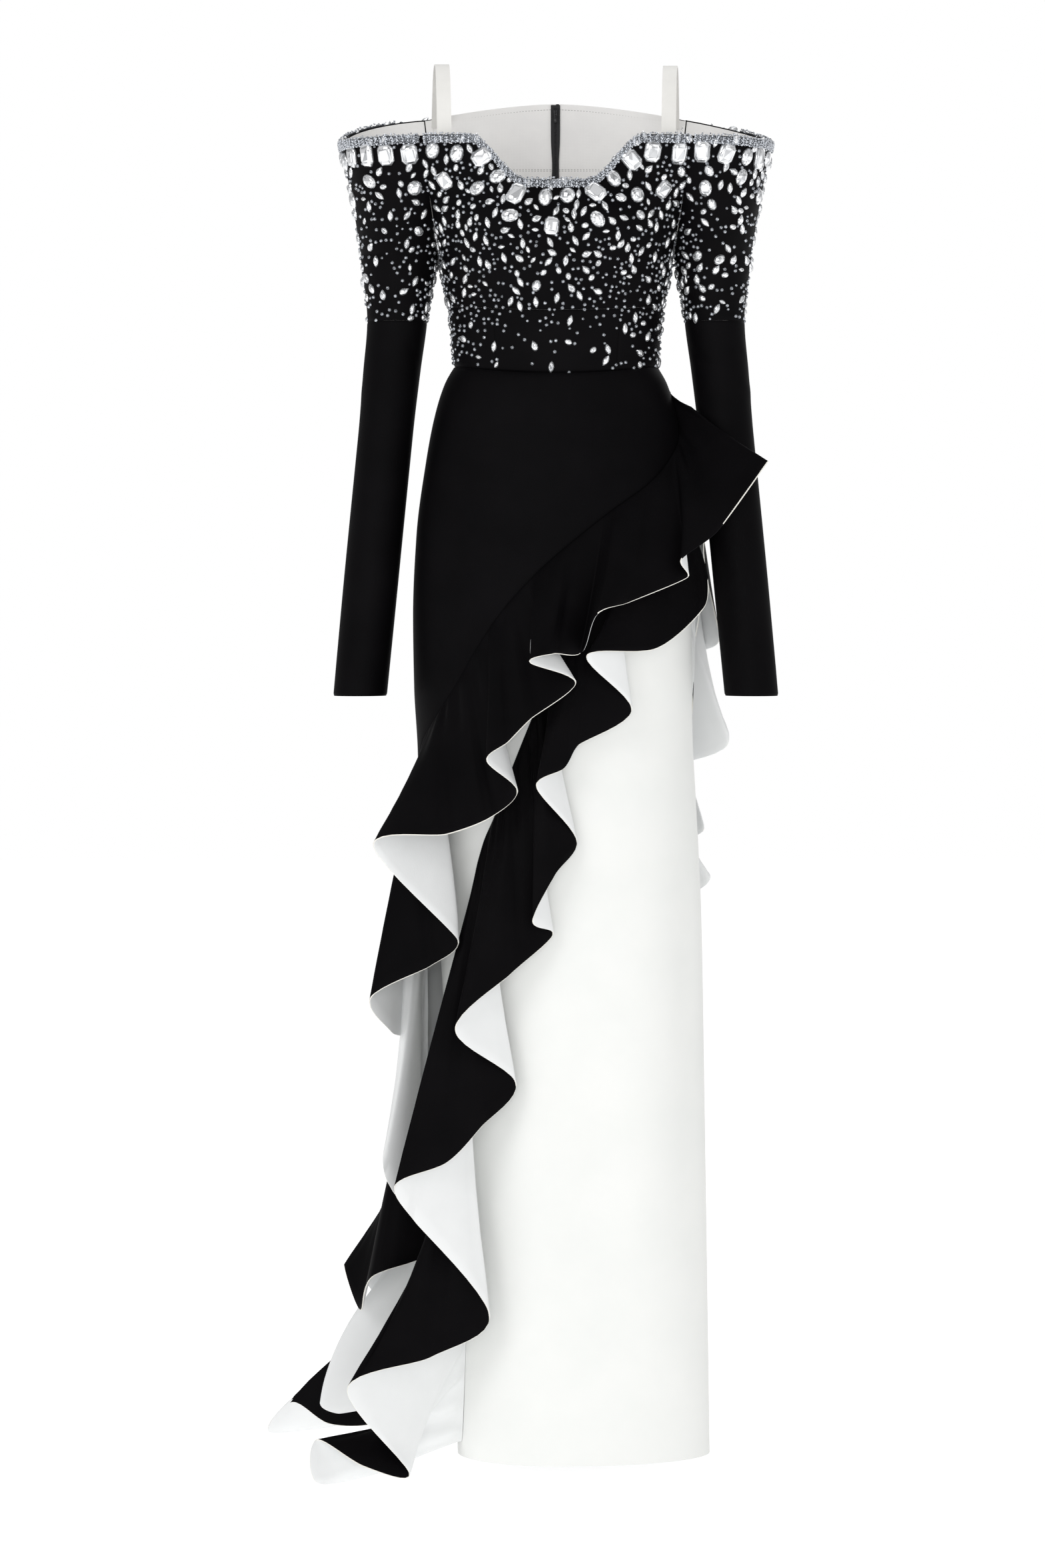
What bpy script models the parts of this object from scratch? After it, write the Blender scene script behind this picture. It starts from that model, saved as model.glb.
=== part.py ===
"""Off-the-shoulder evening gown with long sleeves, a diagonal overskirt edge and two long flounces.

Metres, +Z up. The gown faces -Y, with the wearer's left at +X. Heights in the tables are above the
floor, and one empty lowers everything so that the origin lies midway between the tops of the two
shoulder straps, on their undersides, where the wearer's shoulders hold the gown.

Cloth is a wall: a grid of points on the outer surface and a second grid one thickness inside it.
A flounce is a ruled surface from its seam to its free edge. The free edge is a smooth curve through
the outer and inner turns of its folds, which the fold tables list one by one.
"""

import bisect
import math
from typing import NamedTuple

import bpy
from mathutils import Vector

# Cloth and seams
CREPE = 0.0015
FLOUNCE_CLOTH = 0.0016
LINING = 0.0010
SEAM_GAP = 0.0005
SLEEVE_SET_IN = 0.0007
SLEEVE_OPENING_CURVE = 0.6
SLEEVE_OUTER_CURVE = 1.1
SLEEVE_DEPTH_CURVE = 0.8
LAYER_GAP = 0.0006
FOLD_RADIUS = 0.005

# Heights above the floor
HOLD_HEIGHT = 1.573
WAIST = 1.2395
WAIST_DIP = 0.0105
UNDERBUST = 1.3051
UNDERBUST_DIP = 0.0070
CROTCH = 1.3618
NECK_SIDE = 1.4890
NECK_CENTRE = 1.4391
NECK_OUTER = 1.4860
NECK_BACK_ARMHOLE = 1.5220
NECK_BACK_CENTRE = 1.5410
LINING_LOW = 1.4000
LINING_MIDDLE = 1.3810
ELBOW = 1.2895
CUFF = 0.8700
HEM = 0.0140
COLUMN_TUCK = 0.0140
SEAM_RADIUS = 0.12

# Half widths of the bodice
ARMHOLE_LOW = 0.1323
ARMHOLE_TOP = 0.1500
ARMHOLE_DEPTH = 0.0995
MIDRIFF_SEAM = 0.0700
MIDRIFF_HALF = 0.1180
NECK_FLAT = 0.0300
NECK_SLOPE = 0.0650
BACK_NECK_POWER = 1.6

# Bust cups: middles, sizes and how far they swell or sink
CUP_X = 0.062
CUP_HEIGHT = 1.398
CUP_SIZE = (0.036, 0.034)
CUP_SWELL = 0.013
HOLLOW_HEIGHT = 1.405
HOLLOW_SIZE = (0.020, 0.032)
HOLLOW_SINK = 0.007

# Sleeve head: opening of its section in degrees, outermost x and half depth, from underarm to rim
OPENING_UNDERARM = 180
OPENING_RIM = 100
SLEEVE_OUTER = 0.2190
SLEEVE_OUTER_RIM = 0.0223
SLEEVE_HALF_DEPTH = 0.0500
RIM_ROUND_LEFT = 1.25
RIM_ROUND_RIGHT = 1.70
SLEEVE_COLUMNS = 18

# Stones and beads
STONE_RISE = 0.0030
STONE_STEP = 4
BAND_RISE = 0.0020
BAND_HEIGHT = 0.0090
BAND_THICK = 0.0040
BAND_END = 0.0030
BAND_REACH_LEFT = 15
BAND_REACH_RIGHT = 2

# Straps
STRAP_WIDTH = 0.0160
STRAP_TOP = 1.5745
STRAP_FRONT = (0.1235, -0.0955, 1.4790)
STRAP_BACK = (0.1330, 0.0920, 1.5130)
STRAP_CROWN = (0.46, 0.54)
STRAP_CURVE = 2.6

# Zip
TAPE_TOP = 1.5350
TAPE_LOW = 1.4050
TAPE_HALF = 0.0050
SLIDER_HEIGHT = 1.5270
SLIDER_SIZE = (0.0050, 0.0022, 0.0100)
SLIDER_GAP = 0.0004
SLIDER_BEVEL = 0.0005

# Flounces: samples between two folds, rows from seam to edge, and how they hang
EDGE_STEPS = (0.0, 0.14, 0.5, 0.86)
FLOUNCE_ROWS = (0.0, 0.28, 0.62, 1.0)
SOFTENING = 6
FULLNESS = 0.004
UPPER_DROP = 0.0018
LOWER_LIFT = 0.0004


class Girth(NamedTuple):
    """A ring of the figure: half widths on both sides, and depths before and behind the middle."""

    height: float
    left: float
    right: float
    front: float
    back: float


class Fold(NamedTuple):
    """A turn of a flounce: where its line leaves the seam, and its point on the free edge.

    The line is straight, or bows sideways by bow_x and bow_y at its middle.
    """

    name: str
    turn: float
    x: float
    height: float
    y: float
    bow_x: float = 0.0
    bow_y: float = 0.0


class Sleeve(NamedTuple):
    """A ring of the sleeve: its middle and half sizes."""

    height: float
    middle: float
    half_width: float
    half_depth: float


OVERSKIRT_GIRTHS = (
    Girth(1.2395, 0.1138, 0.1138, 0.088, 0.085),
    Girth(1.2200, 0.1247, 0.1247, 0.094, 0.096),
    Girth(1.1800, 0.1370, 0.1370, 0.101, 0.107),
    Girth(1.1310, 0.1462, 0.1462, 0.107, 0.116),
    Girth(1.0500, 0.1568, 0.1568, 0.112, 0.122),
    Girth(0.9600, 0.1607, 0.1607, 0.115, 0.122),
    Girth(0.8800, 0.1595, 0.1600, 0.114, 0.119),
    Girth(0.8080, 0.1555, 0.1590, 0.113, 0.117),
    Girth(0.6000, 0.1520, 0.1700, 0.114, 0.125),
    Girth(0.4000, 0.1560, 0.1780, 0.114, 0.140),
    Girth(0.2500, 0.1660, 0.1850, 0.114, 0.158),
    Girth(0.1200, 0.1830, 0.1900, 0.114, 0.180),
    Girth(0.0300, 0.2000, 0.1900, 0.114, 0.200),
)

COLUMN_GIRTHS = (
    Girth(1.2360, 0.1085, 0.1085, 0.0830, 0.0800),
    Girth(1.1800, 0.1330, 0.1330, 0.0960, 0.1010),
    Girth(1.1000, 0.1460, 0.1460, 0.1050, 0.1130),
    Girth(0.9600, 0.1560, 0.1525, 0.1100, 0.1160),
    Girth(0.8400, 0.1500, 0.1535, 0.1080, 0.1120),
    Girth(0.7400, 0.1420, 0.1585, 0.1080, 0.1100),
    Girth(0.6300, 0.1330, 0.1639, 0.1070, 0.1080),
    Girth(0.4200, 0.1220, 0.1680, 0.1040, 0.1060),
    Girth(0.2200, 0.1150, 0.1713, 0.1020, 0.1040),
    Girth(0.0140, 0.1110, 0.1745, 0.1000, 0.1020),
)

BODICE_GIRTHS = (
    Girth(1.2300, 0.1138, 0.1138, 0.088, 0.085),
    Girth(1.3051, 0.1212, 0.1212, 0.101, 0.092),
    Girth(1.3618, 0.1309, 0.1309, 0.116, 0.098),
    Girth(1.4000, 0.1309, 0.1309, 0.119, 0.100),
    Girth(1.4400, 0.1309, 0.1309, 0.113, 0.101),
    Girth(1.5410, 0.1309, 0.1309, 0.106, 0.103),
)

SLEEVE_RINGS = (
    Sleeve(1.3618, 0.17565, 0.04335, 0.0500),
    Sleeve(1.2895, 0.1781, 0.0337, 0.0390),
    Sleeve(1.2343, 0.1841, 0.0322, 0.0360),
    Sleeve(1.1626, 0.1913, 0.0308, 0.0340),
    Sleeve(1.0200, 0.2057, 0.0308, 0.0325),
    Sleeve(0.8700, 0.2203, 0.0302, 0.0310),
)

# Edge of the overskirt: how far round the figure (0 front, + to the wearer's left) and how high.
OVERSKIRT_EDGE = (
    (90.0, 1.2200),
    (84.0, 1.1790),
    (76.0, 1.1580),
    (67.0, 1.1443),
    (44.0, 1.1079),
    (25.0, 1.0793),
    (0.5, 1.0286),
    (-18.5, 0.9770),
    (-33.0, 0.9262),
    (-44.0, 0.8853),
    (-59.0, 0.8461),
    (-76.0, 0.8150),
    (-90.0, 0.7600),
    (-97.0, 0.6000),
    (-105.0, 0.4200),
    (-113.0, 0.2700),
    (-121.0, 0.2150),
    (-130.0, 0.1950),
    (-150.0, 0.1750),
    (-165.0, 0.1950),
    (-183.0, 0.3000),
    (-203.0, 0.5000),
    (-222.0, 0.7100),
    (-238.0, 0.8700),
    (-250.0, 0.9900),
    (-262.0, 1.1200),
    (-270.0, 1.2200),
)

# Line on the column skirt where the lower flounce is sewn.
LOWER_SEAM = (
    (80.0, 1.0650),
    (53.0, 1.0500),
    (27.0, 1.0200),
    (10.0, 0.9700),
    (-2.3, 0.9000),
    (-10.7, 0.8457),
    (-18.4, 0.7993),
    (-27.8, 0.7439),
    (-38.6, 0.6891),
    (-48.5, 0.5354),
    (-57.6, 0.3124),
    (-63.0, 0.1577),
    (-73.0, 0.0320),
    (-148.0, 0.0320),
    (-165.0, 0.1000),
    (-183.0, 0.2500),
    (-203.0, 0.4400),
    (-222.0, 0.6300),
    (-238.0, 0.7800),
    (-250.0, 0.8900),
    (-262.0, 0.9900),
    (-280.0, 1.0650),
)

UPPER_FRONT_FOLDS = (
    Fold("hip side", 88.5, 0.2270, 1.122, -0.0900),
    Fold("hip cone", 87.0, 0.233, 1.130, -0.102),
    Fold("hip swag", 77, 0.177, 1.054, -0.125),
    Fold("second out", 66, 0.137, 1.023, -0.140),
    Fold("second in", 60, 0.144, 1.003, -0.125),
    Fold("third swag", 44, 0.079, 0.976, -0.170),
    Fold("third out", 25, 0.043, 0.963, -0.205),
    Fold("third in", 20, 0.027, 0.921, -0.155),
    Fold("fourth swag", 6, -0.004, 0.920, -0.185),
    Fold("fourth out", -9, -0.029, 0.911, -0.205),
    Fold("fourth in", -12, 0.021, 0.888, -0.155),
    Fold("fifth swag", -18, -0.028, 0.849, -0.175),
    Fold("fifth wave", -22, -0.053, 0.824, -0.185),
    Fold("fifth out", -26, -0.076, 0.804, -0.200),
    Fold("fifth in", -29, -0.043, 0.769, -0.150),
    Fold("sixth swag", -38, -0.073, 0.740, -0.160),
    Fold("sixth swag low", -49, -0.121, 0.722, -0.165),
    Fold("sixth out", -60, -0.201, 0.709, -0.155),
    Fold("sixth in", -66, -0.109, 0.603, -0.117, 0.012, -0.004),
    Fold("seventh swag", -73, -0.139, 0.574, -0.117),
    Fold("seventh out", -79, -0.205, 0.539, -0.120),
    Fold("seventh wave", -81.5, -0.184, 0.497, -0.070),
    Fold("seventh in", -84.5, -0.160, 0.472, -0.014, -0.007, -0.003),
    Fold("eighth out", -93, -0.193, 0.345, -0.070, 0.011, -0.017),
    Fold("eighth in", -97.5, -0.138, 0.252, -0.030),
    Fold("ninth out", -101.5, -0.206, 0.219, -0.050),
    Fold("ninth in", -105, -0.222, 0.170, 0.035),
    Fold("ninth back", -108, -0.241, 0.217, 0.070),
    Fold("tenth in", -112, -0.205, 0.150, 0.150, 0.0, 0.012),
    Fold("tenth out", -115, -0.269, 0.057, 0.080, -0.022, -0.006),
    Fold("tenth low", -117, -0.250, 0.044, 0.083, -0.012, -0.016),
    Fold("strip end", -119, -0.210, 0.047, 0.092, 0.0, -0.020),
    Fold("train in", -122, -0.212, 0.024, 0.128, 0.0, 0.010),
    Fold("train lip", -125.5, -0.262, 0.022, 0.142, -0.008, 0.010),
    Fold("train crest", -129, -0.305, 0.045, 0.156, -0.010),
    Fold("train tip", -133, -0.333, 0.008, 0.171),
    Fold("train floor", -138.7, -0.262, 0.004, 0.228),
)

LOWER_FRONT_FOLDS = (
    Fold("hip side", 79.7, 0.159, 1.026, -0.0205),
    Fold("first in", 76, 0.168, 1.003, -0.074),
    Fold("first out", 68, 0.163, 0.969, -0.095),
    Fold("second swag", 48, 0.110, 0.925, -0.125),
    Fold("second out", 30, 0.033, 0.917, -0.150),
    Fold("second in", 25, 0.083, 0.857, -0.122),
    Fold("third swag", 14, 0.024, 0.819, -0.138),
    Fold("third wave", 6, 0.008, 0.794, -0.151),
    Fold("third out", -1, -0.022, 0.774, -0.165),
    Fold("third in", -4, 0.022, 0.714, -0.122),
    Fold("fourth swag", -6.5, -0.002, 0.676, -0.144),
    Fold("fourth out", -9.5, -0.026, 0.626, -0.155),
    Fold("fourth in", -12, -0.004, 0.609, -0.126),
    Fold("fifth swag", -20, -0.050, 0.568, -0.148),
    Fold("fifth out", -29, -0.111, 0.507, -0.165),
    Fold("fifth in", -33, -0.045, 0.445, -0.122),
    Fold("sixth swag", -35.5, -0.083, 0.398, -0.140),
    Fold("sixth swag low", -37.5, -0.121, 0.360, -0.155),
    Fold("sixth out", -40, -0.177, 0.337, -0.170),
    Fold("sixth wave", -43, -0.156, 0.296, -0.160),
    Fold("sixth in", -48, -0.074, 0.187, -0.125),
    Fold("seventh swag", -52, -0.138, 0.143, -0.140),
    Fold("seventh out", -57, -0.230, 0.112, -0.170),
    Fold("seventh in", -64, -0.163, 0.011, -0.125),
    Fold("train lip", -66, -0.213, 0.021, -0.140),
    Fold("train crest", -68, -0.266, 0.049, -0.130),
    Fold("train tip", -70.5, -0.264, 0.004, -0.145),
    Fold("train floor", -73, -0.195, 0.004, -0.080),
)

UPPER_BACK_FOLDS = (
    Fold("hip side", -268.4, 0.2250, 1.119, -0.0865),
    Fold("first in", -266.5, 0.166, 1.045, -0.030),
    Fold("first side", -260, 0.186, 0.932, 0.060),
    Fold("first out", -255.5, 0.156, 0.905, 0.115),
    Fold("second side", -247, 0.198, 0.815, 0.080),
    Fold("second out", -242, 0.122, 0.775, 0.160),
    Fold("third side", -236, 0.171, 0.716, 0.110),
    Fold("third out", -232, 0.132, 0.690, 0.178),
    Fold("fourth side", -227, 0.178, 0.655, 0.120),
    Fold("fourth out", -221, 0.095, 0.590, 0.200),
    Fold("fifth side", -216, 0.150, 0.540, 0.130),
    Fold("fifth out", -210, 0.070, 0.470, 0.215),
    Fold("sixth side", -205, 0.125, 0.420, 0.140),
    Fold("sixth out", -199, 0.045, 0.350, 0.225),
    Fold("seventh side", -193, 0.095, 0.300, 0.150),
    Fold("seventh out", -187, 0.010, 0.230, 0.240),
    Fold("eighth side", -181, 0.060, 0.170, 0.165),
    Fold("eighth out", -174, -0.025, 0.100, 0.265),
    Fold("ninth side", -168, 0.020, 0.045, 0.190),
    Fold("ninth out", -161, -0.060, 0.012, 0.310),
    Fold("train side", -156, -0.050, 0.040, 0.235),
    Fold("train out", -150, -0.150, 0.006, 0.330),
    Fold("train low", -145, -0.200, 0.012, 0.275),
    Fold("train floor", -139.3, -0.262, 0.004, 0.232),
)

LOWER_BACK_FOLDS = (
    Fold("hip side", -279.7, 0.159, 1.026, -0.0185),
    Fold("first side", -272, 0.162, 0.965, 0.012),
    Fold("first out", -263, 0.156, 0.920, 0.038),
    Fold("second side", -254, 0.154, 0.845, 0.046),
    Fold("second out", -245, 0.140, 0.785, 0.073),
    Fold("third side", -236, 0.142, 0.705, 0.068),
    Fold("third out", -227, 0.117, 0.630, 0.096),
    Fold("fourth side", -218, 0.116, 0.545, 0.089),
    Fold("fourth out", -208, 0.080, 0.455, 0.112),
    Fold("fifth side", -199, 0.079, 0.365, 0.103),
    Fold("fifth out", -189, 0.038, 0.270, 0.120),
    Fold("sixth side", -180, 0.038, 0.185, 0.110),
    Fold("sixth out", -169, -0.010, 0.100, 0.120),
    Fold("seventh side", -159, -0.005, 0.045, 0.111),
    Fold("hem floor", -149, -0.050, 0.010, 0.113),
)


def smooth_value(knots, values, at):
    """A monotone cubic through the given rows, flat beyond both ends."""
    if knots[0] > knots[-1]:
        knots, values = knots[::-1], values[::-1]
    if at <= knots[0]:
        return values[0]
    if at >= knots[-1]:
        return values[-1]
    widths = [b - a for a, b in zip(knots, knots[1:])]
    slopes = [(b - a) / w for a, b, w in zip(values, values[1:], widths)]
    i = bisect.bisect_right(knots, at) - 1

    def tangent(k):
        if k == 0 or k == len(knots) - 1:
            return slopes[min(k, len(slopes) - 1)]
        before, after = slopes[k - 1], slopes[k]
        if before * after <= 0:
            return 0.0
        w1 = 2 * widths[k] + widths[k - 1]
        w2 = widths[k] + 2 * widths[k - 1]
        return (w1 + w2) / (w1 / before + w2 / after)

    t = (at - knots[i]) / widths[i]
    m0, m1 = tangent(i) * widths[i], tangent(i + 1) * widths[i]
    return (
        (2 * t**3 - 3 * t**2 + 1) * values[i]
        + (t**3 - 2 * t**2 + t) * m0
        + (3 * t**2 - 2 * t**3) * values[i + 1]
        + (t**3 - t**2) * m1
    )


def table_value(table, column, at):
    """A column of a table, read smoothly at a value of its first column."""
    return smooth_value([row[0] for row in table], [row[column] for row in table], at)


def girth_at(girths, height):
    return Girth(height, *(table_value(girths, column, height) for column in (1, 2, 3, 4)))


def on_figure(girths, turn, height, outward=0.0):
    """A point of the figure, turned from the front towards +X, moved outward along the ring."""
    ring = girth_at(girths, height)
    angle = math.radians(turn)
    across, along = math.sin(angle), math.cos(angle)
    wide = ring.right if across > 0 else ring.left
    deep = ring.front if along > 0 else ring.back
    outside = Vector((across * deep, -along * wide, 0)).normalized()
    return Vector((wide * across, -deep * along, height)) + outside * outward


def grid_normals(grid, joined):
    """The outward direction at each point of a grid whose rows run down and columns run along."""
    rows, columns = len(grid), len(grid[0])
    normals = [[Vector() for _ in range(columns)] for _ in range(rows)]
    for i in range(rows - 1):
        for j in range(columns - 1):
            down = (grid[i + 1][j] + grid[i + 1][j + 1]) - (grid[i][j] + grid[i][j + 1])
            along = (grid[i][j + 1] + grid[i + 1][j + 1]) - (grid[i][j] + grid[i + 1][j])
            facing = down.cross(along)
            for a, b in ((i, j), (i, j + 1), (i + 1, j), (i + 1, j + 1)):
                normals[a][b] += facing
    for i in range(rows):
        if joined[i]:
            total = normals[i][0] + normals[i][-1]
            normals[i][0] = normals[i][-1] = total
    return [[normal.normalized() for normal in row] for row in normals]


def cloth(name, grid, colour, thickness=CREPE, joined=None, outside=0.0, rises=None, normals=None):
    """A wall of cloth as one closed object.

    The grid's rows run down, and its columns run towards the wearer's left across the front and
    towards the right across the back. A joined row closes on itself. outside is the share of the
    thickness that lies outside the grid, and rises lifts single outer points, as large stones do.
    """
    rows, columns = len(grid), len(grid[0])
    joined = joined or [False] * rows
    normals = normals or grid_normals(grid, joined)
    rises = rises or {}
    points, index = [], {}
    for side, share in ((0, outside), (1, outside - 1.0)):
        for i in range(rows):
            for j in range(columns):
                if joined[i] and j == columns - 1:
                    index[side, i, j] = index[side, i, 0]
                    continue
                lift = thickness * share + (rises.get((i, j), 0.0) if side == 0 else 0.0)
                index[side, i, j] = len(points)
                points.append(grid[i][j] + normals[i][j] * lift)
    faces = []
    for i in range(rows - 1):
        for j in range(columns - 1):
            for corners in halves(grid, i, j):
                faces.append([index[0, a, b] for a, b in corners])
                faces.append([index[1, a, b] for a, b in reversed(corners)])
    for j in range(columns - 1):
        faces.append([index[0, 0, j], index[0, 0, j + 1], index[1, 0, j + 1], index[1, 0, j]])
        k = rows - 1
        faces.append([index[1, k, j], index[1, k, j + 1], index[0, k, j + 1], index[0, k, j]])
    for i in range(rows - 1):
        if joined[i] and joined[i + 1]:
            continue
        k = columns - 1
        faces.append([index[1, i, 0], index[1, i + 1, 0], index[0, i + 1, 0], index[0, i, 0]])
        faces.append([index[0, i, k], index[0, i + 1, k], index[1, i + 1, k], index[1, i, k]])
    mesh = bpy.data.meshes.new(name)
    mesh.from_pydata([tuple(point) for point in points], [], clean(faces))
    mesh.shade_smooth()
    mesh.set_sharp_from_angle(angle=math.radians(50))
    return place(bpy.data.objects.new(name, mesh), colour)


def halves(grid, i, j):
    """Two triangles of a grid cell, split along its shorter diagonal on both sides of the wall."""
    a, b, c, d = (i, j), (i + 1, j), (i + 1, j + 1), (i, j + 1)
    across = (grid[i][j] - grid[i + 1][j + 1]).length
    other = (grid[i + 1][j] - grid[i][j + 1]).length
    if across < other:
        return (a, b, c), (a, c, d)
    return (a, b, d), (b, c, d)


def clean(faces):
    """Faces without repeated corners, which occur where an open row meets a joined one."""
    tidy = []
    for face in faces:
        kept = [v for k, v in enumerate(face) if v != face[k - 1]]
        if len(set(kept)) == len(kept) >= 3:
            tidy.append(kept)
    return tidy


def place(obj, colour):
    """Adds an object under the gown's empty with a plain material of its colour."""
    bpy.context.scene.collection.objects.link(obj)
    obj.parent = bpy.data.objects["gown"]
    obj.data.materials.append(colour)
    return obj


def finish(name, rgb, roughness, metallic=0.0):
    material = bpy.data.materials.new(name)
    material.use_nodes = True
    shader = material.node_tree.nodes["Principled BSDF"]
    shader.inputs["Base Color"].default_value = (*rgb, 1.0)
    shader.inputs["Roughness"].default_value = roughness
    shader.inputs["Metallic"].default_value = metallic
    return material


def spread(first, last, count):
    """count + 1 even steps from first to last."""
    return [first + (last - first) * k / count for k in range(count + 1)]


def waist_height(turn):
    return WAIST - WAIST_DIP * max(0.0, math.cos(math.radians(turn))) ** 2


def underbust_height(turn):
    return UNDERBUST - UNDERBUST_DIP * max(0.0, math.cos(math.radians(turn))) ** 2


def skirt_grid(girths, turns, top, bottom, rows):
    """Rows from top(turn) down to bottom(turn), one column for each turn."""
    return [
        [on_figure(girths, turn, top(turn) + (bottom(turn) - top(turn)) * i / rows) for turn in turns]
        for i in range(rows + 1)
    ]


def edge_curve(folds):
    """Free edge of a flounce: (point, turn, bow) samples, round at each fold and smooth between."""
    points = [Vector((fold.x, fold.y, fold.height)) for fold in folds]
    tangents = []
    for k, point in enumerate(points):
        before = points[max(k - 1, 0)]
        after = points[min(k + 1, len(points) - 1)]
        through = after - before
        leg = min((point - q).length for q in (before, after) if q != point)
        straight = 0.5 * min(through.length, 2.0 * leg)
        rounded = math.sqrt(6 * FOLD_RADIUS * leg) * (1.0 - min(1.0, straight / leg))
        tangents.append(through.normalized() * max(straight, rounded))
    samples = []
    for k in range(len(points) - 1):
        for t in EDGE_STEPS:
            samples.append((hermite(points[k], points[k + 1], tangents[k], tangents[k + 1], t), k + t))
    samples.append((points[-1], len(points) - 1.0))
    order = list(range(len(folds)))
    turns, bows_x, bows_y = ([fold[column] for fold in folds] for column in (1, 5, 6))
    return [
        (
            point,
            smooth_value(order, turns, at),
            Vector((smooth_value(order, bows_x, at), smooth_value(order, bows_y, at), 0)),
        )
        for point, at in samples
    ]


def hermite(start, end, leave, arrive, t):
    return (
        start * (2 * t**3 - 3 * t**2 + 1)
        + leave * (t**3 - 2 * t**2 + t)
        + end * (3 * t**2 - 2 * t**3)
        + arrive * (t**3 - t**2)
    )


def seam_point(girths, seam, turn, outward, below):
    """A point of a seam line, moved off the skirt and down its surface, away from the panel above."""
    here = on_figure(girths, turn, table_value(seam, 1, turn), outward)
    ahead = on_figure(girths, turn - 1, table_value(seam, 1, turn - 1), outward)
    along = (ahead - here).normalized()
    out = Vector((here.x, here.y, 0)).normalized()
    away = along.cross(out)
    if away.z > 0:
        away = -away
    return here + away.normalized() * below


def flounce(name, folds, girths, seam, colour, outward, below):
    """A flounce: straight lines fan from the seam to the free edge and hang out more near the edge."""
    samples = edge_curve(folds)
    if folds[0].turn > folds[-1].turn:
        samples = samples[::-1]
    starts = [seam_point(girths, seam, turn, outward, below) for _, turn, _ in samples]
    reaches = [edge - start for (edge, _, _), start in zip(samples, starts)]
    grid = []
    for t in FLOUNCE_ROWS:
        eased = softened(reaches, round(SOFTENING * (1 - t)))
        grid.append([
            start + reach * t + bow * (4 * t * (1 - t)) + fullness(start, t)
            for start, reach, (_, _, bow) in zip(starts, eased, samples)
        ])
    normals = grid_normals(grid, [False] * len(grid))
    for i, passes in ((0, 8), (1, 2)):
        normals[i] = [normal.normalized() for normal in softened(normals[i], passes)]
    return cloth(name, grid, colour, FLOUNCE_CLOTH, outside=0.5, normals=normals)


def softened(vectors, passes):
    """Neighbours blended, so that folds are round near the seam and grow sharper towards the edge."""
    for _ in range(passes):
        inner = [(a + b * 2 + c) / 4 for a, b, c in zip(vectors, vectors[1:], vectors[2:])]
        vectors = [vectors[0], *inner, vectors[-1]]
    return vectors


def fullness(start, t):
    """How far a flounce stands off the straight line from seam to edge, as cloth on the bias does."""
    return Vector((start.x, start.y, 0)).normalized() * (FULLNESS * math.sin(math.pi * t))


# Bodice and sleeves

def armhole(share):
    """(x, depth) of the armhole seam, from the underarm (share 0) to the neckline (share 1)."""
    across, _, half_depth, opening = sleeve_top(share)
    return across, half_depth * math.sin(opening)


def sleeve_top(share):
    """Section of the sleeve above the underarm: armhole x, half width, half depth, half opening."""
    opening = math.radians(OPENING_UNDERARM + (OPENING_RIM - OPENING_UNDERARM) * share**SLEEVE_OPENING_CURVE)
    armhole_x = ARMHOLE_LOW + (ARMHOLE_TOP - ARMHOLE_LOW) * share
    outer = SLEEVE_OUTER + SLEEVE_OUTER_RIM * share**SLEEVE_OUTER_CURVE
    half_width = (outer - armhole_x) / (1 - math.cos(opening))
    rim_depth = ARMHOLE_DEPTH / math.sin(math.radians(OPENING_RIM))
    half_depth = SLEEVE_HALF_DEPTH + (rim_depth - SLEEVE_HALF_DEPTH) * share**SLEEVE_DEPTH_CURVE
    return armhole_x, half_width, half_depth, opening


def bodice_point(side, across, height, neck_side):
    """A point of the bodice: side -1 front or 1 back, across -1..1 from one seam to the other."""
    ring = girth_at(BODICE_GIRTHS, height)
    deep = ring.front if side < 0 else ring.back
    if height <= CROTCH:
        angle = across * math.pi / 2
        return Vector((ring.left * math.sin(angle), side * deep * math.cos(angle), height))
    share = min(1.0, (height - CROTCH) / (neck_side - CROTCH))
    edge_x, edge_y = armhole(share)
    edge_x -= (ARMHOLE_LOW - ring.left) * (1 - share)
    limit = math.acos(min(0.999, edge_y / deep))
    wide = edge_x / math.sin(limit)
    angle = across * limit
    return Vector((wide * math.sin(angle), side * deep * math.cos(angle), height))


def neckline_front(x):
    """Height of the sweetheart neckline."""
    t = min(1.0, max(0.0, (abs(x) - NECK_FLAT) / NECK_SLOPE))
    return NECK_CENTRE + (NECK_SIDE - NECK_CENTRE) * (3 * t**2 - 2 * t**3)


def neckline_back(x):
    fall = NECK_BACK_CENTRE - NECK_BACK_ARMHOLE
    return NECK_BACK_CENTRE - fall * min(1.0, abs(x) / ARMHOLE_TOP) ** BACK_NECK_POWER


def cup(point):
    """The bust cups, two soft swells with a hollow between them."""
    swell = CUP_SWELL * bell(abs(point.x) - CUP_X, point.z - CUP_HEIGHT, CUP_SIZE)
    hollow = HOLLOW_SINK * bell(point.x, point.z - HOLLOW_HEIGHT, HOLLOW_SIZE)
    return Vector((0, hollow - swell, 0))


def bell(x, z, size):
    return math.exp(-((x / size[0]) ** 2) - (z / size[1]) ** 2)


def across_steps(first, last, count):
    """Even steps across a panel, with a seam's gap left at both ends."""
    gap = math.copysign(SEAM_GAP / (math.pi / 2 * BODICE_GIRTHS[1].left), last - first)
    return spread(first + gap, last - gap, count)


def scattered(rows, columns):
    """Grid points that carry a large stone: every few columns, on alternate rows below the band."""
    return {
        (i, j): STONE_RISE
        for i in range(2, rows - 1, 2)
        for j in range(1 + (i * 7) % STONE_STEP, columns - 1, STONE_STEP)
    }


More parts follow.
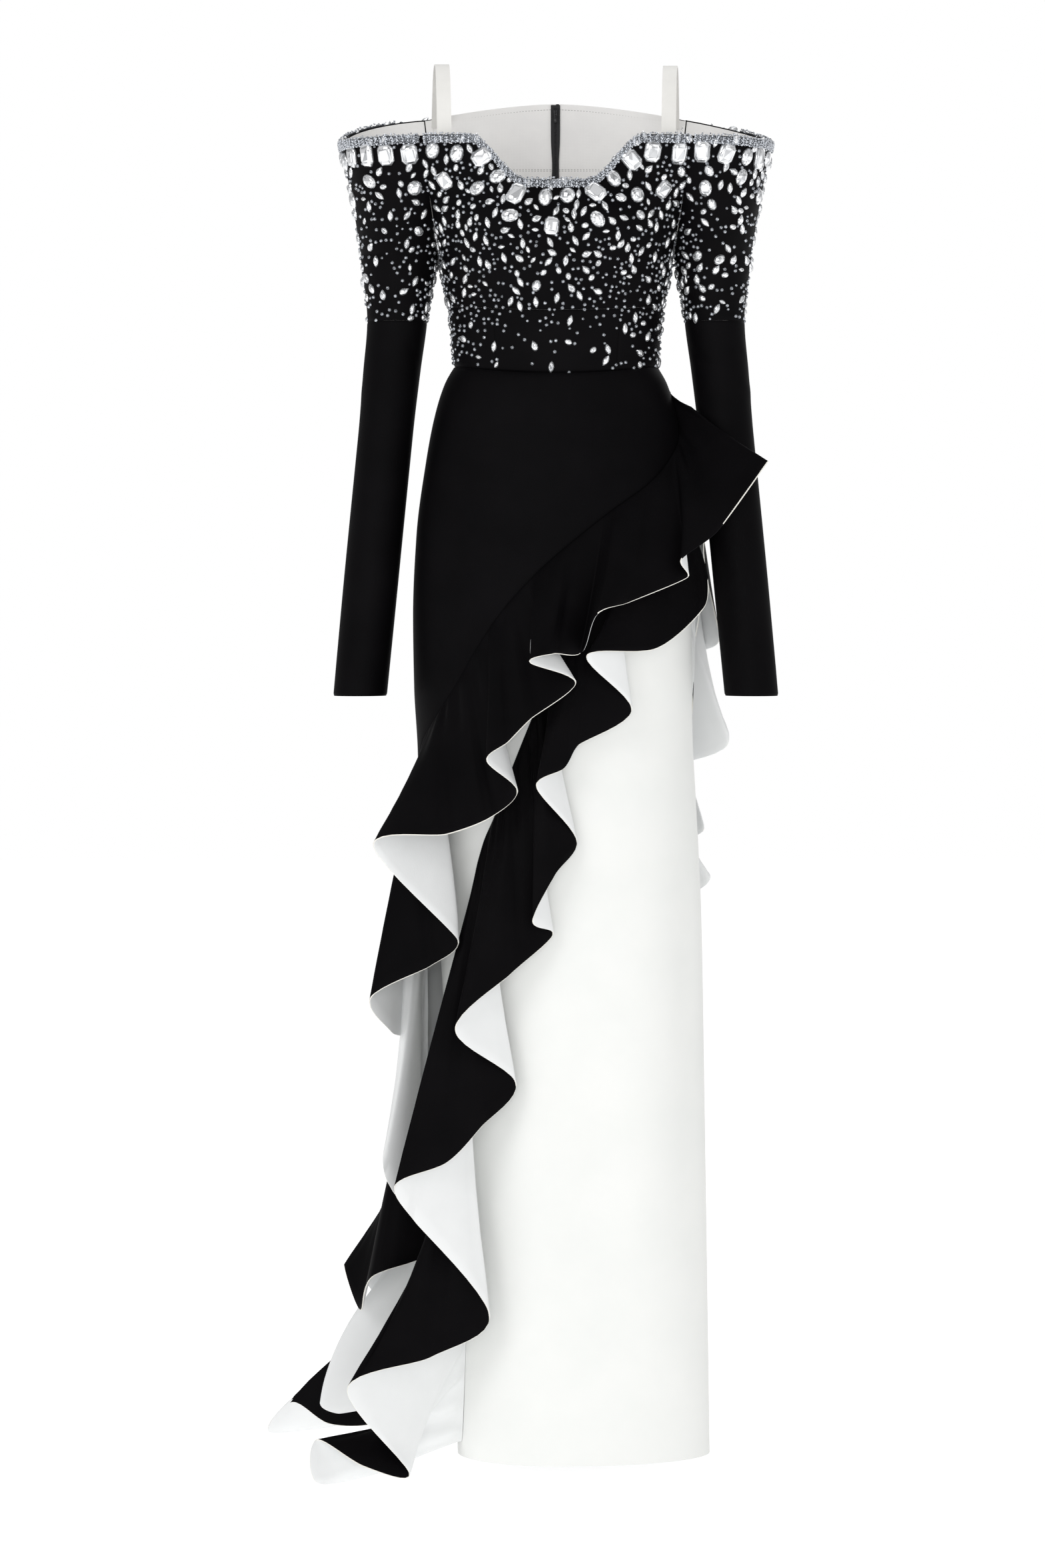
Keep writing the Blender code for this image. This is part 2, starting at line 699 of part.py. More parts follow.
def bodice_front(black):
    columns, rows = 26, 11
    grid = [[] for _ in range(rows)]
    for across in across_steps(-1, 1, columns):
        low = underbust_height(across * 90) + SEAM_GAP
        heights = panel_heights(neckline_front(across * ARMHOLE_TOP), low)
        for row, height in zip(grid, heights):
            point = bodice_point(-1, across, height, NECK_SIDE)
            row.append(point + cup(point))
    cloth("bodice_front", grid, black, rises=scattered(rows, columns + 1))
    return grid


def midriff(black):
    """The band below the bust, in three pieces between the side seams."""
    seam = math.degrees(math.asin(MIDRIFF_SEAM / MIDRIFF_HALF))
    gap = math.degrees(SEAM_GAP / MIDRIFF_HALF)
    panels = (
        ("midriff_side_right", -90, -seam, 5),
        ("midriff_front", -seam, seam, 9),
        ("midriff_side_left", seam, 90, 5),
    )
    for name, first, last, columns in panels:
        turns = spread(first + gap, last - gap, columns)
        grid = [
            [
                bodice_point(
                    -1,
                    turn / 90,
                    underbust_height(turn) - SEAM_GAP
                    + (waist_height(turn) - underbust_height(turn) + 2 * SEAM_GAP) * i / 3,
                    NECK_SIDE,
                )
                for turn in turns
            ]
            for i in range(4)
        ]
        cloth(name, grid, black)


def panel_heights(top, low):
    """Row heights from the neckline to the lining's edge, the underarm and the panel's lower seam."""
    return spread(top, LINING_LOW, 5) + [LINING_MIDDLE, CROTCH] + spread(CROTCH, low, 3)[1:]


def back_grid(first, last, columns, rows, low):
    grid = [[] for _ in range(rows)]
    for across in across_steps(first, last, columns):
        heights = panel_heights(neckline_back(across * ARMHOLE_TOP), low)
        for row, height in zip(grid, heights):
            row.append(bodice_point(1, across, height, NECK_BACK_ARMHOLE))
    return grid


def bodice_back(black, white):
    """Two back panels that meet at the zip, and the lining that shows inside the open neck."""
    low = WAIST + SEAM_GAP
    cloth("bodice_back_right", back_grid(0, -1, 10, 11, low), black)
    cloth("bodice_back_left", back_grid(1, 0, 10, 11, low), black)
    inset = CREPE + LAYER_GAP
    cloth("bodice_lining", back_grid(0.9, -0.9, 18, 6, low), white, LINING, outside=-inset / LINING)


def sleeve_grid(side, rows_top, rows_low, columns):
    """Rows from the neckline rim past the underarm to the elbow; side 1 is the wearer's left."""
    grid, joined = [], []
    for i in range(rows_top + 1):
        share = 1 - i / rows_top
        armhole_x, half_width, half_depth, opening = sleeve_top(share)
        middle = armhole_x - half_width * math.cos(opening) - SLEEVE_SET_IN
        closed = i == rows_top
        ease = 0.0 if closed else SEAM_GAP / half_width
        row = []
        for k in spread(-1 + ease, 1 - ease, columns):
            angle = k * opening
            row.append(
                Vector((
                    middle + half_width * math.cos(angle),
                    half_depth * math.sin(angle),
                    CROTCH + share * (rim_height(k, side) - CROTCH),
                ))
            )
        grid.append(row)
        joined.append(closed)
    for i in range(1, rows_low + 1):
        grid.append(sleeve_ring(CROTCH + (ELBOW + SEAM_GAP - CROTCH) * i / rows_low, columns))
        joined.append(True)
    return mirrored(grid, side), joined


def sleeve_ring(height, columns):
    middle, half_width, half_depth = (table_value(SLEEVE_RINGS, c, height) for c in (1, 2, 3))
    return [
        Vector((middle + half_width * math.cos(a), half_depth * math.sin(a), height))
        for a in spread(-math.pi, math.pi, columns)
    ]


def rim_height(k, side):
    """Height of the off-shoulder rim, from the front armhole (k -1) round to the back one (k 1)."""
    if k < 0:
        return NECK_OUTER + (NECK_SIDE - NECK_OUTER) * k * k
    power = RIM_ROUND_LEFT if side > 0 else RIM_ROUND_RIGHT
    return NECK_OUTER + (NECK_BACK_ARMHOLE - NECK_OUTER) * (1 - (1 - k) ** power)


def mirrored(grid, side):
    """The grid as it is for the wearer's left, or mirrored for the right with its columns reversed."""
    if side > 0:
        return grid
    return [[Vector((-p.x, p.y, p.z)) for p in reversed(row)] for row in grid]


def sleeves(black, silver):
    for side, name in ((1, "left"), (-1, "right")):
        grid, joined = sleeve_grid(side, 7, 4, SLEEVE_COLUMNS)
        reach = slice(BAND_REACH_LEFT) if side > 0 else slice(BAND_REACH_RIGHT, None)
        band(f"neck_band_{name}", [row[reach] for row in grid[:2]], silver)
        rises = scattered(8, SLEEVE_COLUMNS + 1)
        cloth(f"sleeve_upper_{name}", grid, black, joined=joined, rises=rises)
        heights = spread(ELBOW - SEAM_GAP, CUFF, 6)
        lower = mirrored([sleeve_ring(height, 16) for height in heights], side)
        cloth(f"sleeve_lower_{name}", lower, black, joined=[True] * len(heights))


# Trims

def band(name, wall, colour):
    """A raised beaded band that follows the upper edge of a wall, given as its two upper rows."""
    upper, lower = (shortened(row) for row in wall[:2])
    grid = [[point + Vector((0, 0, BAND_RISE)) for point in upper]]
    for drop in (BAND_RISE, BAND_HEIGHT - BAND_RISE):
        grid.append([a + (b - a).normalized() * drop for a, b in zip(upper, lower)])
    return cloth(name, grid, colour, BAND_THICK, outside=1 + LAYER_GAP / BAND_THICK)


def shortened(row):
    """A row of points with its two ends drawn in, so that neighbouring bands stay apart."""
    ends = [
        end + (beside - end).normalized() * BAND_END
        for end, beside in ((row[0], row[1]), (row[-1], row[-2]))
    ]
    return [ends[0], *row[1:-1], ends[1]]


def straps(ivory):
    """Two flat straps that rise inside the front neckline and end inside the back one."""
    for side, name in ((1, "left"), (-1, "right")):
        rows = []
        for t in spread(0, 1, 16):
            x, y = (front + (back - front) * t for front, back in zip(STRAP_FRONT[:2], STRAP_BACK[:2]))
            rows.append((side * x, y, strap_height(t)))
        grid = []
        for edge in (STRAP_WIDTH / 2, -STRAP_WIDTH / 2):
            grid.append([Vector((x + side * edge, y, z)) for x, y, z in rows])
        if side > 0:
            grid = grid[::-1]
        cloth(f"strap_{name}", grid, ivory, CREPE)


def strap_height(t):
    """Steep legs and a short rounded crown at the strap's middle."""
    front, back = STRAP_CROWN
    rise = 1 - (abs(t - 0.5) / 0.5) ** STRAP_CURVE
    low = STRAP_FRONT[2] if t < 0.5 else STRAP_BACK[2]
    return low + (STRAP_TOP - low) * (1 if front < t < back else rise)


def zip_tape(black, steel):
    """The zip's tape on the lining at the back, and its slider at the top."""
    inset = CREPE + LAYER_GAP + LINING + LAYER_GAP
    grid = []
    for height in spread(TAPE_TOP, TAPE_LOW, 6):
        deep = deep_at(height) - inset
        grid.append([Vector((x, deep, height)) for x in (TAPE_HALF, 0.0, -TAPE_HALF)])
    cloth("zip_tape", grid, black, LINING)
    bpy.ops.mesh.primitive_cube_add(size=1)
    slider = bpy.context.object
    slider.name = "zip_slider"
    slider.scale = SLIDER_SIZE
    behind = inset + LINING + SLIDER_SIZE[1] / 2 + SLIDER_GAP
    slider.location = (0, deep_at(SLIDER_HEIGHT) - behind, SLIDER_HEIGHT)
    bpy.ops.object.transform_apply(location=True, rotation=False, scale=True)
    bevel = slider.modifiers.new("edges", "BEVEL")
    bevel.width = SLIDER_BEVEL
    bevel.segments = 2
    slider.users_collection[0].objects.unlink(slider)
    place(slider, steel)


def deep_at(height):
    """Depth of the bodice back at its middle."""
    return girth_at(BODICE_GIRTHS, height).back


# Skirts

def skirts(black, white):
    gap = math.degrees(SEAM_GAP / SEAM_RADIUS)
    front = spread(-90 + gap, -78, 3) + spread(-70, 74, 12) + spread(82, 90 - gap, 1)
    back = spread(-270 + gap, -156, 9) + [-148, -138, -126] + spread(-114, -90 - gap, 6)

    def top(turn):
        return waist_height(turn) - SEAM_GAP

    def edge(turn):
        return table_value(OVERSKIRT_EDGE, 1, turn)

    cloth("overskirt_front", skirt_grid(OVERSKIRT_GIRTHS, front, top, edge, 8), black)
    cloth("overskirt_back", skirt_grid(OVERSKIRT_GIRTHS, back, top, edge, 12), black)
    column_top = WAIST - COLUMN_TUCK

    def column_waist(_):
        return column_top

    def column_hem(_):
        return HEM

    cloth("column_front", skirt_grid(COLUMN_GIRTHS, front, column_waist, column_hem, 10), white)
    back_turns = spread(-270 + gap, -90 - gap, 14)
    cloth("column_back", skirt_grid(COLUMN_GIRTHS, back_turns, column_waist, column_hem, 10), white)


def flounces(black):
    half = FLOUNCE_CLOTH / 2
    lower_out = half + LOWER_LIFT
    upper = (OVERSKIRT_GIRTHS, OVERSKIRT_EDGE)
    lower = (COLUMN_GIRTHS, LOWER_SEAM)
    flounce("flounce_upper_front", UPPER_FRONT_FOLDS, *upper, black, -half, UPPER_DROP)
    flounce("flounce_upper_back", UPPER_BACK_FOLDS, *upper, black, -half, UPPER_DROP)
    flounce("flounce_lower_front", LOWER_FRONT_FOLDS, *lower, black, lower_out, 0.0)
    flounce("flounce_lower_back", LOWER_BACK_FOLDS, *lower, black, lower_out, 0.0)


def main():
    for obj in list(bpy.data.objects):
        bpy.data.objects.remove(obj)
    gown = bpy.data.objects.new("gown", None)
    bpy.context.scene.collection.objects.link(gown)
    gown.location = (0, 0, -HOLD_HEIGHT)
    black = finish("black crepe", (0.012, 0.010, 0.012), 0.75)
    white = finish("ivory crepe", (0.83, 0.84, 0.81), 0.80)
    ivory = finish("ivory strap", (0.86, 0.85, 0.82), 0.80)
    silver = finish("silver beads", (0.45, 0.47, 0.50), 0.30, 0.6)
    steel = finish("black metal", (0.02, 0.02, 0.02), 0.40, 0.8)
    band("neck_band_front", bodice_front(black), silver)
    midriff(black)
    bodice_back(black, white)
    sleeves(black, silver)
    straps(ivory)
    zip_tape(black, steel)
    skirts(black, white)
    flounces(black)


main()
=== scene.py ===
"""Looks of an off-the-shoulder evening gown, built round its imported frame.

Metres, +Z up, the gown facing -Y with the wearer's left at +X. The tables give heights above the
floor, and every piece is lowered by HOLD_HEIGHT, so that the origin lies between the strap tops.
Each piece of cloth is a wall with a face, a reverse and edges. Flounces fan from their seams to
free edges that run through the turns of their folds. Stones, beads and stitches are modelled once
and copied into joined meshes.
"""

from __future__ import annotations

import logging
import math
from dataclasses import dataclass, field
from enum import Enum
from typing import Callable, NamedTuple, Sequence

import bpy
import numpy as np
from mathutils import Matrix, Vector

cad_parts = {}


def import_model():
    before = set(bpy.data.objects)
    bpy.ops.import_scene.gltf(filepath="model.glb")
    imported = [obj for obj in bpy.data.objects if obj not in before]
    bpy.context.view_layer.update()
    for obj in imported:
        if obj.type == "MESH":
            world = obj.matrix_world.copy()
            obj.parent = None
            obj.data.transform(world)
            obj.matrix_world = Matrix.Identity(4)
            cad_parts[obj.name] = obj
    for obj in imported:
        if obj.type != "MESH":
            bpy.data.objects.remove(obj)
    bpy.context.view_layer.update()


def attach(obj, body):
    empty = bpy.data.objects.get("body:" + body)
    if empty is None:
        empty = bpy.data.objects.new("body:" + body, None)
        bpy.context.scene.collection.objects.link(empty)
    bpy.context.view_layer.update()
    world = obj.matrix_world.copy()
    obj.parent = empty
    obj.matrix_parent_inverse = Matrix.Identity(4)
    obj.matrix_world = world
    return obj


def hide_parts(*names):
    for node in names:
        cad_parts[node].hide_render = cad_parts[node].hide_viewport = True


log = logging.getLogger("gown")

Array = np.ndarray
Heights = Callable[[Array], Array]
Colour = tuple[float, float, float]
Spot = tuple[float, float, float]
Finish = bpy.types.Material
Node = bpy.types.Node
Socket = bpy.types.NodeSocket

BODY = "root"

# Heights above the floor, and how far two seams dip at the front.
HOLD_HEIGHT = 1.573
WAIST = 1.2395
WAIST_DIP = 0.0105
UNDERBUST = 1.3051
UNDERBUST_DIP = 0.0070
CROTCH = 1.3618
NECK_SIDE = 1.4890
NECK_CENTRE = 1.4391
NECK_OUTER = 1.4860
NECK_BACK_ARMHOLE = 1.5220
NECK_BACK_CENTRE = 1.5410
LINING_LOW = 1.4000
ELBOW = 1.2895
CUFF = 0.8700
HEM = 0.0140
COLUMN_TUCK = 0.0140

# The bodice and the sleeves, as seen from the front and from above.
ARMHOLE_LOW = 0.1323
ARMHOLE_TOP = 0.1500
ARMHOLE_DEPTH = 0.0995
MIDRIFF_SEAM = 0.0700
MIDRIFF_HALF_WIDTH = 0.118
RIM_ROUND_LEFT = 1.25
RIM_ROUND_RIGHT = 1.70
NECK_SLOPE = (0.030, 0.095)
NECK_BACK_CURVE = 1.6
OPENING_UNDERARM = 180
OPENING_RIM = 100
OPENING_CURVE = 0.6
SLEEVE_OUTER = 0.2190
SLEEVE_OUTER_RIM = 0.0223
SLEEVE_OUTER_CURVE = 1.1
SLEEVE_HALF_DEPTH = 0.0500
SLEEVE_DEPTH_CURVE = 0.8

# Cloth, and what lies between two layers or two pieces.
CREPE_WALL = 0.0015
FLOUNCE_WALL = 0.0016
LINING_WALL = 0.0010
LAYER_GAP = 0.0006
SEAM_GAP = 0.00002
SIDE_SEAM = 0.02
SEAM_DEPTH = 0.0009
SEAM_WIDTH = 0.0016
SLEEVE_SET_IN = 0.0007
ALLOWANCE_INWARD = 0.0024
ALLOWANCE_DOWN = 0.0050
FOLD_RADIUS = 0.005
CREASE_FADE_IN = (-0.05, 0.35)
CREASE_FADE_OUT = (0.55, 1.05)
SHARP_ANGLE = math.radians(50)


class Side(Enum):
    """The side of the wearer that a piece is on, as the sign of its X."""

    LEFT = 1
    RIGHT = -1

    @property
    def word(self) -> str:
        """The side as it stands in a piece's name."""
        return self.name.lower()


class Panel(Enum):
    """The front or the back of the figure, as the sign of its Y."""

    FRONT = -1
    BACK = 1


class Cut(Enum):
    """The outline of a stone."""

    ROUND = "round"
    OVAL = "oval"
    EMERALD = "emerald"
    PEAR = "pear"
    MARQUISE = "marquise"
    CHATON = "chaton"
    SEED = "seed"


class Girth(NamedTuple):
    """A ring of the figure: its height, half widths and depths before and behind the middle."""

    height: float
    left: float
    right: float
    front: float
    back: float


class Fold(NamedTuple):
    """A turn of a flounce: where its line leaves the seam, its point on the free edge and its bow."""

    turn: float
    x: float
    height: float
    y: float
    bow_x: float = 0.0
    bow_y: float = 0.0


class SleeveRing(NamedTuple):
    """A ring of the sleeve: its height, its middle and its half sizes."""

    height: float
    middle: float
    half_width: float
    half_depth: float


class Crease(NamedTuple):
    """A soft fold from one turn and height of a wall to another. A negative depth is a trough."""

    turn_a: float
    height_a: float
    turn_b: float
    height_b: float
    depth: float
    width: float


class Swell(NamedTuple):
    """A soft round relief: its depth, the X and the height of its middle, and its reach along both."""

    depth: float
    x: float
    x_reach: float
    height: float
    height_reach: float

    def at(self, x: Array, height: Array) -> Array:
        """The relief at places of the front, the same on both sides of the middle."""
        across, up = (np.abs(x) - self.x) / self.x_reach, (height - self.height) / self.height_reach
        return self.depth * np.exp(-(across**2) - up**2)


class Flat(NamedTuple):
    """The size that a piece of cloth was cut to, and its area where it isn't a rectangle."""

    width: float
    length: float
    area: float | None = None


PANEL_TURNS = {Panel.FRONT: (-90.0, 90.0), Panel.BACK: (-270.0, -90.0)}

OVERSKIRT_GIRTHS = tuple(Girth(*row) for row in (
    (1.2395, 0.1138, 0.1138, 0.088, 0.085), (1.22, 0.1247, 0.1247, 0.094, 0.096),
    (1.18, 0.137, 0.137, 0.101, 0.107), (1.131, 0.1462, 0.1462, 0.107, 0.116),
    (1.05, 0.1568, 0.1568, 0.112, 0.122), (0.96, 0.1607, 0.1607, 0.115, 0.122),
    (0.88, 0.1595, 0.16, 0.114, 0.119), (0.808, 0.1555, 0.159, 0.113, 0.117),
    (0.6, 0.152, 0.17, 0.114, 0.125), (0.4, 0.156, 0.178, 0.114, 0.14), (0.25, 0.166, 0.185, 0.114, 0.158),
    (0.12, 0.183, 0.19, 0.114, 0.18), (0.03, 0.2, 0.19, 0.114, 0.2),
))

COLUMN_GIRTHS = tuple(Girth(*row) for row in (
    (1.236, 0.1085, 0.1085, 0.083, 0.08), (1.18, 0.133, 0.133, 0.096, 0.101),
    (1.1, 0.146, 0.146, 0.105, 0.113), (0.96, 0.156, 0.1525, 0.11, 0.116),
    (0.84, 0.15, 0.1535, 0.108, 0.112), (0.74, 0.142, 0.1585, 0.108, 0.11),
    (0.63, 0.133, 0.1639, 0.107, 0.108), (0.42, 0.122, 0.168, 0.104, 0.106),
    (0.22, 0.115, 0.1713, 0.102, 0.104), (0.014, 0.111, 0.1745, 0.1, 0.102),
))

BODICE_GIRTHS = tuple(Girth(*row) for row in (
    (1.23, 0.1138, 0.1138, 0.088, 0.085), (1.3051, 0.1212, 0.1212, 0.101, 0.092),
    (1.3618, 0.1309, 0.1309, 0.116, 0.098), (1.4, 0.1309, 0.1309, 0.119, 0.1),
    (1.44, 0.1309, 0.1309, 0.113, 0.101), (1.541, 0.1309, 0.1309, 0.106, 0.103),
))

BUST_CUP = Swell(0.013, 0.062, 0.036, 1.398, 0.034)
BUST_HOLLOW = Swell(0.007, 0.0, 0.020, 1.405, 0.032)

SLEEVE_RINGS = tuple(SleeveRing(*row) for row in (
    (1.3618, 0.17565, 0.04335, 0.05), (1.2895, 0.1781, 0.0337, 0.039), (1.2343, 0.1841, 0.0322, 0.036),
    (1.1626, 0.1913, 0.0308, 0.034), (1.02, 0.2057, 0.0308, 0.0325), (0.87, 0.2203, 0.0302, 0.031),
))

# Edge of the overskirt: how far round the figure (0 front, + to the wearer's left) and how high.
OVERSKIRT_EDGE = (
    (90, 1.22), (84, 1.179), (76, 1.158), (67, 1.1443), (44, 1.1079), (25, 1.0793), (0.5, 1.0286),
    (-18.5, 0.977), (-33, 0.9262), (-44, 0.8853), (-59, 0.8461), (-76, 0.815), (-90, 0.76),
    (-97, 0.6), (-105, 0.42), (-113, 0.27), (-121, 0.215), (-130, 0.195), (-150, 0.175),
    (-165, 0.195), (-183, 0.3), (-203, 0.5), (-222, 0.71), (-238, 0.87), (-250, 0.99), (-262, 1.12),
    (-270, 1.22),
)

# Line on the column skirt where the lower flounce is sewn.
LOWER_SEAM = (
    (80, 1.065), (53, 1.05), (27, 1.02), (10, 0.97), (-2.3, 0.9), (-10.7, 0.8457), (-18.4, 0.7993),
    (-27.8, 0.7439), (-38.6, 0.6891), (-48.5, 0.5354), (-57.6, 0.3124), (-63, 0.1577), (-73, 0.032),
    (-148, 0.032), (-165, 0.1), (-183, 0.25), (-203, 0.44), (-222, 0.63), (-238, 0.78),
    (-250, 0.89), (-262, 0.99), (-280, 1.065),
)

UPPER_FRONT_FOLDS = tuple(Fold(*row) for row in (
    (88.5, 0.227, 1.122, -0.09), (87.0, 0.233, 1.13, -0.102), (77, 0.177, 1.054, -0.125),
    (66, 0.137, 1.023, -0.14), (60, 0.144, 1.003, -0.125), (44, 0.079, 0.976, -0.17),
    (25, 0.043, 0.963, -0.205), (20, 0.027, 0.921, -0.155), (6, -0.004, 0.92, -0.185),
    (-9, -0.029, 0.911, -0.205), (-12, 0.021, 0.888, -0.155), (-18, -0.028, 0.849, -0.175),
    (-22, -0.053, 0.824, -0.185), (-26, -0.076, 0.804, -0.2), (-29, -0.043, 0.769, -0.15),
    (-38, -0.073, 0.74, -0.16), (-49, -0.121, 0.722, -0.165), (-60, -0.201, 0.709, -0.155),
    (-66, -0.109, 0.603, -0.117, 0.012, -0.004), (-73, -0.139, 0.574, -0.117), (-79, -0.205, 0.539, -0.12),
    (-81.5, -0.184, 0.497, -0.07), (-84.5, -0.16, 0.472, -0.014, -0.007, -0.003),
    (-93, -0.193, 0.345, -0.07, 0.011, -0.017), (-97.5, -0.138, 0.252, -0.03),
    (-101.5, -0.206, 0.219, -0.05), (-105, -0.222, 0.17, 0.035), (-108, -0.241, 0.217, 0.07),
    (-112, -0.205, 0.15, 0.15, 0.0, 0.012), (-115, -0.269, 0.057, 0.08, -0.022, -0.006),
    (-117, -0.25, 0.044, 0.083, -0.012, -0.016), (-119, -0.21, 0.047, 0.092, 0.0, -0.02),
    (-122, -0.212, 0.024, 0.128, 0.0, 0.01), (-125.5, -0.262, 0.022, 0.142, -0.008, 0.01),
    (-129, -0.305, 0.045, 0.156, -0.01), (-133, -0.333, 0.008, 0.171), (-138.7, -0.262, 0.004, 0.228),
))

LOWER_FRONT_FOLDS = tuple(Fold(*row) for row in (
    (79.7, 0.159, 1.026, -0.0205), (76, 0.168, 1.003, -0.074), (68, 0.163, 0.969, -0.095),
    (48, 0.11, 0.925, -0.125), (30, 0.033, 0.917, -0.15), (25, 0.083, 0.857, -0.122),
    (14, 0.024, 0.819, -0.138), (6, 0.008, 0.794, -0.151), (-1, -0.022, 0.774, -0.165),
    (-4, 0.022, 0.714, -0.122), (-6.5, -0.002, 0.676, -0.144), (-9.5, -0.026, 0.626, -0.155),
    (-12, -0.004, 0.609, -0.126), (-20, -0.05, 0.568, -0.148), (-29, -0.111, 0.507, -0.165),
    (-33, -0.045, 0.445, -0.122), (-35.5, -0.083, 0.398, -0.14), (-37.5, -0.121, 0.36, -0.155),
    (-40, -0.177, 0.337, -0.17), (-43, -0.156, 0.296, -0.16), (-48, -0.074, 0.187, -0.125),
    (-52, -0.138, 0.143, -0.14), (-57, -0.23, 0.112, -0.17), (-64, -0.163, 0.011, -0.125),
    (-66, -0.213, 0.021, -0.14), (-68, -0.266, 0.049, -0.13), (-70.5, -0.264, 0.004, -0.145),
    (-73, -0.195, 0.004, -0.08),
))

UPPER_BACK_FOLDS = tuple(Fold(*row) for row in (
    (-268.4, 0.225, 1.119, -0.0865), (-266.5, 0.166, 1.045, -0.03), (-260, 0.186, 0.932, 0.06),
    (-255.5, 0.156, 0.905, 0.115), (-247, 0.198, 0.815, 0.08), (-242, 0.122, 0.775, 0.16),
    (-236, 0.171, 0.716, 0.11), (-232, 0.132, 0.69, 0.178), (-227, 0.178, 0.655, 0.12),
    (-221, 0.095, 0.59, 0.2), (-216, 0.15, 0.54, 0.13), (-210, 0.07, 0.47, 0.215),
    (-205, 0.125, 0.42, 0.14), (-199, 0.045, 0.35, 0.225), (-193, 0.095, 0.3, 0.15),
    (-187, 0.01, 0.23, 0.24), (-181, 0.06, 0.17, 0.165), (-174, -0.025, 0.1, 0.265),
    (-168, 0.02, 0.045, 0.19), (-161, -0.06, 0.012, 0.31), (-156, -0.05, 0.04, 0.235),
    (-150, -0.15, 0.006, 0.33), (-145, -0.2, 0.012, 0.275), (-139.3, -0.262, 0.004, 0.232),
))

LOWER_BACK_FOLDS = tuple(Fold(*row) for row in (
    (-279.7, 0.159, 1.026, -0.0185), (-272, 0.162, 0.965, 0.012), (-263, 0.156, 0.92, 0.038),
    (-254, 0.154, 0.845, 0.046), (-245, 0.14, 0.785, 0.073), (-236, 0.142, 0.705, 0.068),
    (-227, 0.117, 0.63, 0.096), (-218, 0.116, 0.545, 0.089), (-208, 0.08, 0.455, 0.112),
    (-199, 0.079, 0.365, 0.103), (-189, 0.038, 0.27, 0.12), (-180, 0.038, 0.185, 0.11),
    (-169, -0.01, 0.1, 0.12), (-159, -0.005, 0.045, 0.111), (-149, -0.05, 0.01, 0.113),
))

COLUMN_CREASES = {
    Panel.FRONT: (
        Crease(10, 1.12, 2, 0.55, 0.002, 0.03),
        Crease(40, 0.75, 34, 0.06, 0.0024, 0.026),
        Crease(18, 0.6, 14, 0.04, -0.002, 0.022),
        Crease(62, 0.8, 64, 0.1, -0.0022, 0.024),
        Crease(-20, 0.62, -16, 0.05, 0.0018, 0.026),
    ),
    Panel.BACK: (
        Crease(-170, 0.95, -172, 0.1, 0.0026, 0.03),
        Crease(-205, 0.8, -200, 0.06, -0.0022, 0.026),
        Crease(-140, 0.7, -142, 0.05, -0.002, 0.024),
        Crease(-230, 0.85, -228, 0.12, 0.0022, 0.026),
    ),
}

OVERSKIRT_CREASES = {
    Panel.FRONT: (
        Crease(60, 1.185, -40, 1.02, -0.0012, 0.02),
        Crease(-70, 1.12, -20, 0.98, 0.0014, 0.026),
        Crease(-62, 1.02, -45, 0.88, -0.0012, 0.02),
    ),
    Panel.BACK: (
        Crease(-150, 1.05, -170, 0.4, 0.003, 0.03),
        Crease(-125, 0.95, -135, 0.25, -0.0026, 0.028),
        Crease(-190, 1.00, -205, 0.62, -0.0024, 0.026),
        Crease(-110, 0.8, -118, 0.2, 0.0024, 0.024),
    ),
}

SLEEVE_CREASES = (
    Crease(-70, 1.27, -20, 1.245, -0.001, 0.006),
    Crease(-150, 1.262, -95, 1.235, -0.0012, 0.007),
    Crease(-60, 1.225, 10, 1.205, 0.0008, 0.008),
    Crease(100, 1.268, 150, 1.24, -0.001, 0.007),
    Crease(-40, 0.96, -20, 0.885, 0.0006, 0.01),
    Crease(60, 1.1, 80, 0.98, 0.0006, 0.012),
)

# What each solid's cloth was cut to.
FLATS = {
    "column_front": Flat(0.42, 1.22, 0.482),
    "column_back": Flat(0.42, 1.22, 0.488),
    "overskirt_front": Flat(0.40, 0.485, 0.093),
    "overskirt_back": Flat(0.42, 1.18, 0.331),
    "flounce_upper_front": Flat(1.91, 0.38, 0.281),
    "flounce_upper_back": Flat(1.92, 0.20, 0.186),
    "flounce_lower_front": Flat(1.56, 0.36, 0.203),
    "flounce_lower_back": Flat(1.00, 0.085, 0.028),
    "bodice_front": Flat(0.37, 0.22, 0.059),
    "bodice_lining": Flat(0.29, 0.141, 0.0378),
    "midriff_front": Flat(0.150, 0.070),
    "zip_tape": Flat(0.0105, 0.136),
}
FLATS |= {
    f"{piece}_{side.word}": flat
    for side in Side
    for piece, flat in (
        ("midriff_side", Flat(0.098, 0.068)),
        ("bodice_back", Flat(0.157, 0.314, 0.0485)),
        ("sleeve_upper", Flat(0.314, 0.266, 0.059)),
        ("sleeve_lower", Flat(0.223, 0.422, 0.0854)),
        ("strap", Flat(0.016, 0.263)),
    )
}


def hermite(t: Array) -> tuple[Array, Array, Array, Array]:
    """The weights of a cubic's start, leaving slope, end and arriving slope at shares of its span."""
    return 2 * t**3 - 3 * t**2 + 1, t**3 - 2 * t**2 + t, 3 * t**2 - 2 * t**3, t**3 - t**2


